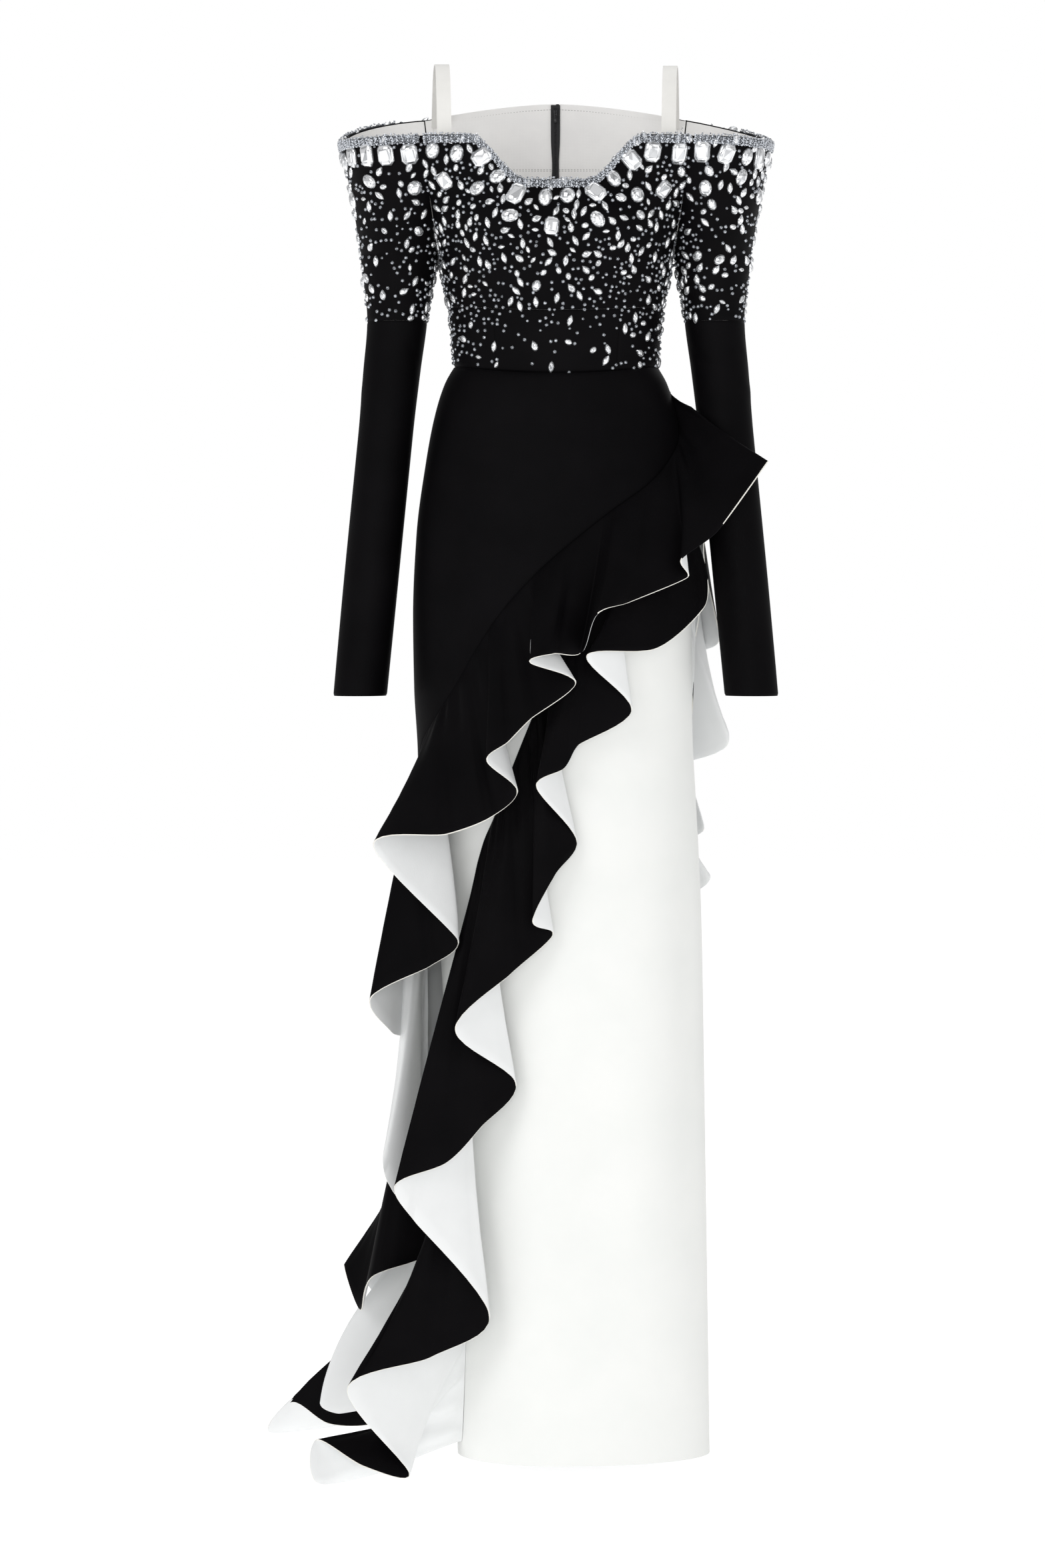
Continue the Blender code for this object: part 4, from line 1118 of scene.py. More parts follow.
@dataclass
class Flounce:
    """A flounce: lines fan from its seam on the figure to the turns of its free edge.

    The seam lies off the figure by outward and down it by below. A tuck above it hides behind the
    piece that it is sewn under. Spans of turns in plain have no light line along their edge.
    """

    name: str
    folds: Sequence[Fold]
    figure: Figure
    seam: SmoothCurve
    outward: float
    below: float
    tuck: float
    plain: tuple[tuple[float, float], ...] = ()
    rows: int = 20
    seam_shares: tuple[float, ...] = (0.0, 0.008, 0.018)
    coarse_steps: tuple[float, ...] = (0.0, 0.14, 0.5, 0.86, 1.0)
    finer: int = 3
    hem: float = 0.0006
    hem_waves: tuple[float, float] = (0.019, 0.047)
    hem_unevenness: float = 0.4
    blend_passes: int = 6
    settle_shares: tuple[float, ...] = (0.0, 0.28, 0.62)
    settle_passes: tuple[int, ...] = (8, 2, 0)
    fullness: float = 0.004
    tuck_inward: float = 0.0016
    gather: float = 0.0024
    gather_step: float = 0.033
    gather_drift: tuple[float, float] = (0.041, 0.017)
    gather_swell: float = 0.063
    gather_from: tuple[float, float] = (0.0, 0.07)
    gather_until: tuple[float, float] = (0.16, 0.55)

    def wall(self) -> Wall:
        """Works out the flounce's cloth.

        Returns:
            Its wall.
        """
        edge, turn, bow = self._free_edge()
        start = self._seam_points(turn)
        reach = edge - start
        out = unit(start * np.array([1.0, 1.0, 0.0]))
        rows = []
        shares = np.concatenate([self.seam_shares, np.linspace(0, 1, self.rows + 1)[1:]])
        weight = self.finer**2
        for t in shares:
            eased = softened(reach, round(self.blend_passes * (1 - t) * weight))
            stand = self.fullness * math.sin(math.pi * t)
            rows.append(start + eased * t + bow * (4 * t * (1 - t)) + out * stand)
        along = runs(edge)
        short, long = self.hem_waves
        hem = self.hem * (1 + self.hem_unevenness * np.sin(along / short) * np.sin(along / long + 1.0))
        rows.insert(-1, rows[-1] + unit(rows[-2] - rows[-1]) * hem[:, None])
        grid = np.array(rows)
        normals = wall_normals(grid)
        for i, t in enumerate(shares):
            passes = np.interp(t, self.settle_shares, self.settle_passes) * weight
            normals[i] = unit(softened(normals[i], round(passes)))
        grid[:-2] += normals[:-2] * self._gathers(start, shares[:-1])[..., None]
        normals[-1] *= 0.5
        if self.tuck:
            up = unit(grid[0] - grid[1])
            tucked = grid[0] + up * self.tuck - normals[0] * self.tuck_inward
            grid = np.concatenate([[tucked], grid])
            normals = np.concatenate([normals[:1], normals])
        middle = (turn[1:] + turn[:-1]) / 2
        plain = np.zeros(len(middle), bool)
        for low, high in self.plain:
            plain |= (middle > low) & (middle < high)
        return Wall(self.name, grid, FLOUNCE_WALL, 0.5, normals=normals, edge_rows=1, plain=plain)

    def _gathers(self, start: Array, shares: Array) -> Array:
        """Works out a groove at the seam and uneven gathers below it.

        Args:
            start: The points of the seam.
            shares: Each row's share of the way to the free edge.

        Returns:
            How far each point of each row stands out.
        """
        along = runs(start)
        slow, quick = self.gather_drift
        phase = 2 * math.pi * along / self.gather_step + 1.9 * np.sin(along / slow) + np.sin(along / quick)
        size = 0.55 + 0.45 * np.sin(along / self.gather_swell + 0.8)
        t = shares[:, None]
        swell = smooth_step(*self.gather_from, t) * (1 - smooth_step(*self.gather_until, t))
        groove = SEAM_DEPTH * np.exp(-((t / self.seam_shares[1]) ** 2))
        return self.gather * size * np.sin(phase) * swell - groove

    def _free_edge(self) -> tuple[Array, Array, Array]:
        """Runs the free edge through its turns, rounded at each by FOLD_RADIUS at least.

        Returns:
            The edge's points, and the turn and the bow of the line that ends at each.
        """
        points = np.array([(fold.x, fold.y, fold.height) for fold in self.folds])
        last = len(points) - 1
        before = points[np.maximum(np.arange(last + 1) - 1, 0)]
        after = points[np.minimum(np.arange(last + 1) + 1, last)]
        through = after - before
        legs = np.stack([np.linalg.norm(points - before, axis=1), np.linalg.norm(after - points, axis=1)])
        leg = np.where(legs > 0, legs, np.inf).min(axis=0)
        straight = 0.5 * np.minimum(np.linalg.norm(through, axis=1), 2 * leg)
        rounded = np.sqrt(6 * FOLD_RADIUS * leg) * (1 - np.minimum(1.0, straight / leg))
        tangents = unit(through) * np.maximum(straight, rounded)[:, None]
        spans = zip(self.coarse_steps, self.coarse_steps[1:])
        steps = np.concatenate([np.linspace(a, b, self.finer, endpoint=False) for a, b in spans])
        at = np.concatenate([(np.arange(last)[:, None] + steps).reshape(-1), [last]])
        k = np.minimum(at.astype(int), last - 1)
        head, leave, end, arrive = hermite((at - k)[:, None])
        edge = points[k] * head + tangents[k] * leave + points[k + 1] * end + tangents[k + 1] * arrive
        turn, bow_x, bow_y = (
            SmoothCurve(range(last + 1), [fold[column] for fold in self.folds])(at) for column in (0, 4, 5)
        )
        bow = np.stack([bow_x, bow_y, np.zeros_like(bow_x)], -1)
        if self.folds[0].turn > self.folds[-1].turn:
            return edge[::-1], turn[::-1], bow[::-1]
        return edge, turn, bow

    def _seam_points(self, turn: Array) -> Array:
        """Lays the seam on the figure.

        Args:
            turn: The turn of each line.

        Returns:
            Where each line starts.
        """
        here = self.figure.place(turn, self.seam(turn), self.outward)
        ahead = self.figure.place(turn - 1, self.seam(turn - 1), self.outward)
        out = unit(here * np.array([1.0, 1.0, 0.0]))
        away = np.cross(unit(ahead - here), out)
        away = np.where(away[:, 2:] > 0, -away, away)
        return here + unit(away) * self.below


@dataclass
class Skirts:
    """The column skirt, the overskirt with its diagonal edge, and the two flounces."""

    room: Workroom
    columns: int = 90
    rows: int = 72
    side_margin: float = 0.55
    end_margin: float = 0.0022
    column_figure: Figure = field(default_factory=lambda: Figure(COLUMN_GIRTHS))
    over_figure: Figure = field(default_factory=lambda: Figure(OVERSKIRT_GIRTHS))
    column_radius: float = 0.13
    over_radius: float = 0.135
    over_lap: float = 0.0005
    over_tuck: float = 0.005
    lower_lift: float = 0.0001
    bare_edges: tuple[tuple[float, float], ...] = ((66.5, 79.0), (19.5, 25.5))

    def build(self) -> None:
        """Makes the skirts and the flounces."""
        self._column()
        self._overskirt()
        self._flounces()

    def _panel(
        self, panel: Panel, figure: Figure, radius: float, top: Heights, bottom: Heights,
        creases: Sequence[Crease], sides: str,
    ) -> Array:
        """Lays a panel on a figure, with rows closer together beside its head and its foot.

        Args:
            panel: The front or the back.
            figure: What the panel is laid on.
            radius: Metres of cloth for one radian of turn.
            top: The height of its head at each turn.
            bottom: The height of its foot at each turn.
            creases: Its soft folds.
            sides: The edges that turn in, as for seamed.

        Returns:
            The grid.
        """
        first, last = PANEL_TURNS[panel]
        turns = margined(first + SIDE_SEAM, last - SIDE_SEAM, self.columns, self.side_margin)
        heights = rows_between(top(turns), bottom(turns), self.rows, self.end_margin)
        grid = figure.place(turns, heights)
        normals = wall_normals(grid)
        return seamed(creased(grid, normals, turns, creases, radius), normals, sides)

    def _column(self) -> None:
        """The ivory column skirt in a front and a back panel, sewn at the sides."""
        looks = self.room.finishes
        for panel in Panel:
            grid = self._panel(
                panel, self.column_figure, self.column_radius,
                lambda turns: np.full(len(turns), WAIST - COLUMN_TUCK),
                lambda turns: np.full(len(turns), HEM),
                COLUMN_CREASES[panel], "lr",
            )
            name = f"column_{panel.name.lower()}"
            self.room.cloth(
                Wall(f"{name}_panel", grid, CREPE_WALL),
                (looks.ivory, looks.reverse, looks.ivory),
                "ivory_crepe", "hung", ["midriff_front"], name,
            )

    def _overskirt(self) -> None:
        """The black overskirt in a front and a back panel, cut on the diagonal."""
        looks = self.room.finishes
        edge = table_curve(OVERSKIRT_EDGE, 1)
        for panel in Panel:
            grid = self._panel(
                panel, self.over_figure, self.over_radius,
                lambda turns: waist_height(turns) - SEAM_GAP, edge,
                OVERSKIRT_CREASES[panel], "tblr",
            )
            name = f"overskirt_{panel.name.lower()}"
            self.room.cloth(
                Wall(f"{name}_panel", grid, CREPE_WALL, turned=(3, 3)),
                (looks.black, looks.reverse, looks.black),
                "black_crepe", "hung", ["midriff_front"], name,
            )

    def _flounces(self) -> None:
        """Both flounces, each in a front and a back length."""
        looks = self.room.finishes
        half = FLOUNCE_WALL / 2
        upper = (self.over_figure, table_curve(OVERSKIRT_EDGE, 1), -half, -self.over_lap, self.over_tuck)
        lower = (self.column_figure, table_curve(LOWER_SEAM, 1), half + self.lower_lift, 0.0, 0.0)
        for name, folds, sewn, carrier, bare in (
            ("flounce_upper_front", UPPER_FRONT_FOLDS, upper, "overskirt_front", self.bare_edges),
            ("flounce_upper_back", UPPER_BACK_FOLDS, upper, "overskirt_back", ()),
            ("flounce_lower_front", LOWER_FRONT_FOLDS, lower, "column_front", ()),
            ("flounce_lower_back", LOWER_BACK_FOLDS, lower, "column_back", ()),
        ):
            self.room.cloth(
                Flounce(f"{name}_cloth", folds, *sewn, bare).wall(),
                (looks.black, looks.reverse, looks.edge),
                "black_crepe", "gathered", [carrier], name,
            )


class Armhole(NamedTuple):
    """The section of a sleeve at one height: the seam's X, half sizes and half opening in radians."""

    seam_x: Array
    half_width: Array
    half_depth: Array
    opening: Array


def armhole_at(share: Array) -> Armhole:
    """Works out the sleeve's section at a height.

    Args:
        share: How far up it is, from 0 at the underarm to 1 at the neckline.

    Returns:
        The section.
    """
    opening = np.radians(OPENING_UNDERARM - (OPENING_UNDERARM - OPENING_RIM) * share**OPENING_CURVE)
    seam_x = ARMHOLE_LOW + (ARMHOLE_TOP - ARMHOLE_LOW) * share
    outer = SLEEVE_OUTER + SLEEVE_OUTER_RIM * share**SLEEVE_OUTER_CURVE
    half_width = (outer - seam_x) / (1 - np.cos(opening))
    rim_depth = ARMHOLE_DEPTH / math.sin(math.radians(OPENING_RIM))
    half_depth = SLEEVE_HALF_DEPTH + (rim_depth - SLEEVE_HALF_DEPTH) * share**SLEEVE_DEPTH_CURVE
    return Armhole(seam_x, half_width, half_depth, opening)


BODICE_FIGURE = Figure(BODICE_GIRTHS)


def bodice_place(panel: Panel, across: Array, height: Array, neck_side: float) -> Array:
    """Points of the bodice.

    Args:
        panel: The front or the back.
        across: -1 to 1 from one side seam to the other.
        height: Heights above the floor.
        neck_side: Height of the neckline at the armhole.

    Returns:
        The points.
    """
    deep = (BODICE_FIGURE.front if panel is Panel.FRONT else BODICE_FIGURE.back)(height)
    wide = BODICE_FIGURE.left(height)
    share = np.clip((height - CROTCH) / (neck_side - CROTCH), 0.0, 1.0)
    section = armhole_at(share)
    edge_x = section.seam_x - (ARMHOLE_LOW - wide) * (1 - share)
    edge_y = section.half_depth * np.sin(section.opening)
    limit = np.where(height <= CROTCH, math.pi / 2, np.arccos(np.minimum(0.999, edge_y / deep)))
    wide = np.where(height <= CROTCH, wide, edge_x / np.sin(limit))
    angle = across * limit
    return np.stack([wide * np.sin(angle), panel.value * deep * np.cos(angle), height], -1)


def neckline_front(x: Array) -> Array:
    """Height of the sweetheart neckline."""
    return NECK_CENTRE + (NECK_SIDE - NECK_CENTRE) * smooth_step(*NECK_SLOPE, np.abs(x))


def neckline_back(x: Array) -> Array:
    """Height of the back neckline, which falls towards the armholes."""
    fall = np.minimum(1.0, np.abs(x) / ARMHOLE_TOP) ** NECK_BACK_CURVE
    return NECK_BACK_CENTRE - (NECK_BACK_CENTRE - NECK_BACK_ARMHOLE) * fall


def cupped(points: Array) -> Array:
    """Moves the front by the bust cups, two soft swells with a hollow between them.

    Args:
        points: The points of the front.

    Returns:
        The moved points.
    """
    x, z = points[..., 0], points[..., 2]
    moved = points.copy()
    moved[..., 1] += BUST_HOLLOW.at(x, z) - BUST_CUP.at(x, z)
    return moved


@dataclass
class Patch:
    """The face of a wall as a place to sew stones on.

    The level is 0 at the neckline, 1 below the bust and 2 at the waist, and the weight multiplies
    the number of stones. A band's patch has neither.
    """

    face: Array
    normals: Array
    level: Array | None = None
    weight: Array | None = None

    def at(self, row: Array, column: Array) -> tuple[Array, Array, Array]:
        """Finds places of the face.

        Args:
            row: Fractional rows.
            column: Fractional columns.

        Returns:
            The points, the outward directions and the crosswise directions.
        """
        i = np.clip(row.astype(int), 0, len(self.face) - 2)
        j = np.clip(column.astype(int), 0, self.face.shape[1] - 2)
        a, b = (row - i)[:, None], (column - j)[:, None]

        def mixed(grid: Array) -> Array:
            """The four corners of each cell, weighed."""
            upper, lower = (grid[k, j] * (1 - b) + grid[k, j + 1] * b for k in (i, i + 1))
            return upper * (1 - a) + lower * a

        normal = unit(mixed(self.normals))
        return mixed(self.face), normal, level_with(self.face[i, j + 1] - self.face[i, j], normal)

    def row_below(self, column: Array, distance: Array) -> Array:
        """Finds the rows of places below the top row.

        Args:
            column: Their fractional columns.
            distance: How far down its column each lies.

        Returns:
            Their fractional rows.
        """
        j = np.clip(np.round(column).astype(int), 0, self.face.shape[1] - 1)
        down = runs(self.face[:, j])
        order = np.arange(len(self.face))
        return np.array([np.interp(d, down[:, k], order) for k, d in enumerate(distance)])

    def column_along(self, distance: Array) -> Array:
        """The fractional columns that lie at distances along the top row."""
        return np.interp(distance, runs(self.face[0]), np.arange(self.face.shape[1]))

    def top_length(self) -> float:
        """The length of the top row."""
        return float(np.linalg.norm(np.diff(self.face[0], axis=0), axis=-1).sum())

    def cell_areas(self) -> Array:
        """The area of each cell."""
        down = self.face[1:, :-1] - self.face[:-1, :-1]
        return np.linalg.norm(np.cross(down, self.face[:-1, 1:] - self.face[:-1, :-1]), axis=-1)


class Stone(NamedTuple):
    """A kind of stone: its cut, sizes and lean in degrees, and how many there are in a square
    centimetre at the neckline, below the bust and at the waist."""

    cut: Cut
    length: float
    width: float
    rise: float
    lean: float
    neck: float = 0.0
    bust: float = 0.0
    waist: float = 0.0


class StoneRow(NamedTuple):
    """A row of stones below a neckline: its kinds, their step and how many share it, how far they
    stray along the row, how far below the neckline they lie and how far they stray from that."""

    kinds: tuple[Stone, ...]
    step: float
    shared: int
    sway: float
    drop: float
    up: float
    down: float


class SeedBead(NamedTuple):
    """A kind of bead in the neck bands: its size and the painted brightness of its darkest and brightest
    facet.
    """

    size: float
    tone: tuple[float, float]


SCATTERED_STONES = (
    Stone(Cut.OVAL, 0.0140, 0.0105, 0.0042, 60.0, 0.070),
    Stone(Cut.PEAR, 0.0125, 0.0080, 0.0036, 70.0, 0.230, 0.020, 0.014),
    Stone(Cut.MARQUISE, 0.0135, 0.0070, 0.0034, 50.0, 0.350, 0.026, 0.024),
    Stone(Cut.OVAL, 0.0088, 0.0066, 0.0030, 90.0, 0.140, 0.018, 0.018),
    Stone(Cut.MARQUISE, 0.0090, 0.0050, 0.0026, 90.0, 0.100, 0.022, 0.030),
    Stone(Cut.CHATON, 0.0044, 0.0044, 0.0025, 180.0, 0.420, 0.500, 0.260),
    Stone(Cut.CHATON, 0.0034, 0.0034, 0.0020, 180.0, 0.200, 0.200, 0.080),
)

NECK_STONES = (
    Stone(Cut.EMERALD, 0.0260, 0.0180, 0.0060, 16.0),
    Stone(Cut.OVAL, 0.0210, 0.0160, 0.0056, 20.0),
    Stone(Cut.EMERALD, 0.0240, 0.0190, 0.0058, 22.0),
    Stone(Cut.ROUND, 0.0185, 0.0180, 0.0052, 60.0),
)

NECK_FILLERS = (
    Stone(Cut.MARQUISE, 0.0150, 0.0072, 0.0040, 24.0),
    Stone(Cut.PEAR, 0.0140, 0.0082, 0.0040, 26.0),
    Stone(Cut.MARQUISE, 0.0120, 0.0062, 0.0034, 30.0),
)

LOWER_STONES = (
    Stone(Cut.ROUND, 0.0180, 0.0175, 0.0052, 180.0),
    Stone(Cut.EMERALD, 0.0205, 0.0170, 0.0054, 40.0),
    Stone(Cut.OVAL, 0.0200, 0.0150, 0.0052, 60.0),
)

STONE_ROWS = (
    StoneRow(NECK_STONES, 0.0275, 1, 0.003, 0.0170, -0.001, 0.0035),
    StoneRow(NECK_FILLERS, 0.0275, 3, 0.002, 0.0140, -0.001, 0.007),
    StoneRow(LOWER_STONES, 0.0500, 1, 0.008, 0.0530, -0.012, 0.012),
)

# Bead sizes, with the painted reflection brightness of their facets.
SEED_BEADS = (
    SeedBead(0.0030, (0.1, 1.9)),
    SeedBead(0.0024, (0.0, 0.8)),
    SeedBead(0.0021, (0.0, 1.1)),
)


class StoneShape(NamedTuple):
    """A stone of unit size: its corner points and its facets."""

    points: Array
    facets: Array


@dataclass
class StoneCutter:
    """Cuts each stone once, lying on Z 0 with half length and half width 1."""

    sides: int = 12
    small_sides: int = 7
    shapes: dict[Cut, StoneShape] = field(default_factory=dict)

    def shape(self, cut: Cut) -> StoneShape:
        """Gives the stone of a cut, which is cut on its first use.

        Args:
            cut: Its outline.

        Returns:
            The stone.
        """
        if cut not in self.shapes:
            self.shapes[cut] = self._cut(cut)
        return self.shapes[cut]

    def _cut(self, cut: Cut) -> StoneShape:
        """Models one stone and reads its facets.

        Args:
            cut: Its outline.

        Returns:
            The stone.
        """
        bpy.ops.object.select_all(action="DESELECT")
        if cut is Cut.SEED:
            bpy.ops.mesh.primitive_ico_sphere_add(subdivisions=1, radius=1, location=(0, 0, 1))
        elif cut is Cut.EMERALD:
            self._block()
        else:
            self._drum(self.small_sides if cut is Cut.CHATON else self.sides)
        stone = bpy.context.object
        bpy.ops.object.transform_apply(location=True, rotation=True, scale=True)
        stone.data.calc_loop_triangles()
        points = np.array([corner.co for corner in stone.data.vertices], float)
        facets = np.array([triangle.vertices for triangle in stone.data.loop_triangles], int)
        mesh = stone.data
        bpy.data.objects.remove(stone)
        bpy.data.meshes.remove(mesh)
        if cut is Cut.MARQUISE:
            points[:, 1] *= np.sqrt(np.maximum(0.0, 1 - np.minimum(1.0, points[:, 0] ** 2))) * 0.9 + 0.1
        if cut is Cut.PEAR:
            tip = np.clip(points[:, 0], 0.0, 1.0)
            points[:, 1] *= 1 - 0.85 * tip**1.6
        return StoneShape(points, facets)

    def _drum(self, sides: int) -> None:
        """A round stone: a low drum with a crown of turned facets and a flat table.

        Args:
            sides: How many sides it has.
        """
        bpy.ops.mesh.primitive_cylinder_add(vertices=sides, radius=1, depth=0.36, location=(0, 0, 0.18))
        bpy.ops.object.mode_set(mode="EDIT")
        self._select_top()
        for thickness, depth in ((0.24, 0.40), (0.22, 0.20)):
            bpy.ops.mesh.inset(thickness=thickness, depth=depth)
            bpy.ops.transform.rotate(value=math.pi / sides, orient_axis="Z", center_override=(0, 0, 0))
        bpy.ops.object.mode_set(mode="OBJECT")

    def _block(self) -> None:
        """A step-cut stone: a block with cut corners and two steps up to a long table."""
        bpy.ops.mesh.primitive_cube_add(size=2, location=(0, 0, 0.2))
        bpy.context.object.scale = (1, 1, 0.2)
        bpy.ops.object.transform_apply(location=False, rotation=False, scale=True)
        bpy.ops.object.mode_set(mode="EDIT")
        bpy.ops.mesh.select_mode(type="EDGE")
        bpy.ops.mesh.select_all(action="DESELECT")
        bpy.ops.object.mode_set(mode="OBJECT")
        mesh = bpy.context.object.data
        for edge in mesh.edges:
            a, b = (mesh.vertices[k].co for k in edge.vertices)
            edge.select = abs(a.z - b.z) > 0.1
        bpy.ops.object.mode_set(mode="EDIT")
        bpy.ops.mesh.bevel(offset=0.42, segments=1)
        self._select_top()
        for thickness, depth in ((0.16, 0.28), (0.18, 0.20), (0.14, 0.10)):
            bpy.ops.mesh.inset(thickness=thickness, depth=depth)
        bpy.ops.object.mode_set(mode="OBJECT")

    def _select_top(self) -> None:
        """Selects the faces that look up, in edit mode."""
        bpy.ops.mesh.select_mode(type="FACE")
        bpy.ops.mesh.select_all(action="DESELECT")
        bpy.ops.object.mode_set(mode="OBJECT")
        for face in bpy.context.object.data.polygons:
            face.select = face.normal.z > 0.9
        bpy.ops.object.mode_set(mode="EDIT")


@dataclass
class Strewing:
    """Stones laid out one by one, then joined into a mesh."""

    cutter: StoneCutter
    rng: np.random.Generator
    sunk: float = 0.0003
    # Painted reflections: each stone's brightness scale, and the beta shape of its facets' painted
    # brightness.
    stone_painted_light_scale: tuple[float, float] = (0.82, 1.12)
    facet_painted_light_shape: tuple[float, float] = (0.75, 0.65)
    points: list[Array] = field(default_factory=list)
    facets: list[Array] = field(default_factory=list)
    painted_facet_light: list[Array] = field(default_factory=list)
    count: int = 0

    def lay(
        self,
        cut: Cut,
        centres: Array,
        normals: Array,
        along: Array,
        size: tuple[float, float, float],
        angles: Array,
        tone: tuple[float, float],
    ) -> None:
        """Copies a stone to many places.

        Args:
            cut: Which stone.
            centres: Where each one lies.
            normals: Its outward directions.
            along: Its crosswise directions.
            size: Its length, its width and its rise.
            angles: How far each is turned from crosswise, in radians.
            tone: The painted brightness of the darkest and brightest facet, for the light that facets
                reflect.
        """
        if not len(centres):
            return
        shape = self.cutter.shape(cut)
        beside = np.cross(normals, along)
        cos, sin = np.cos(angles)[:, None], np.sin(angles)[:, None]
        long_axis = along * cos + beside * sin
        wide_axis = beside * cos - along * sin
        length, width, rise = size
        local = shape.points * np.array([length / 2, width / 2, rise])
        placed = (
            (centres - normals * self.sunk)[:, None]
            + long_axis[:, None] * local[None, :, :1]
            + wide_axis[:, None] * local[None, :, 1:2]
            + normals[:, None] * local[None, :, 2:]
        )
        numbers = np.arange(len(centres))[:, None, None] * len(local) + self.count
        self.points.append(placed.reshape(-1, 3))
        self.facets.append((shape.facets[None] + numbers).reshape(-1, 3))
        # Paints reflections: a random brightness for each stone and for each facet, kept as the facets' tone.
        own = self.rng.uniform(*self.stone_painted_light_scale, (len(centres), 1))
        facet = self.rng.beta(*self.facet_painted_light_shape, (len(centres), len(shape.facets)))
        self.painted_facet_light.append((own * (tone[0] + (tone[1] - tone[0]) * facet)).reshape(-1))
        self.count += len(centres) * len(local)

    def join(self, name: str, finish: Finish) -> bpy.types.Object:
        """Joins the stones, with each facet's painted reflection brightness in the mesh as its tone.

        Args:
            name: The object's name.
            finish: Its finish.

        Returns:
            The object.
        """
        mesh = new_mesh(name, np.concatenate(self.points), np.concatenate(self.facets))
        layer = mesh.attributes.new("tone", "FLOAT", "FACE")
        layer.data.foreach_set("value", np.clip(np.concatenate(self.painted_facet_light), 0, 1).astype(np.float32))
        return new_object(name, mesh, [finish])


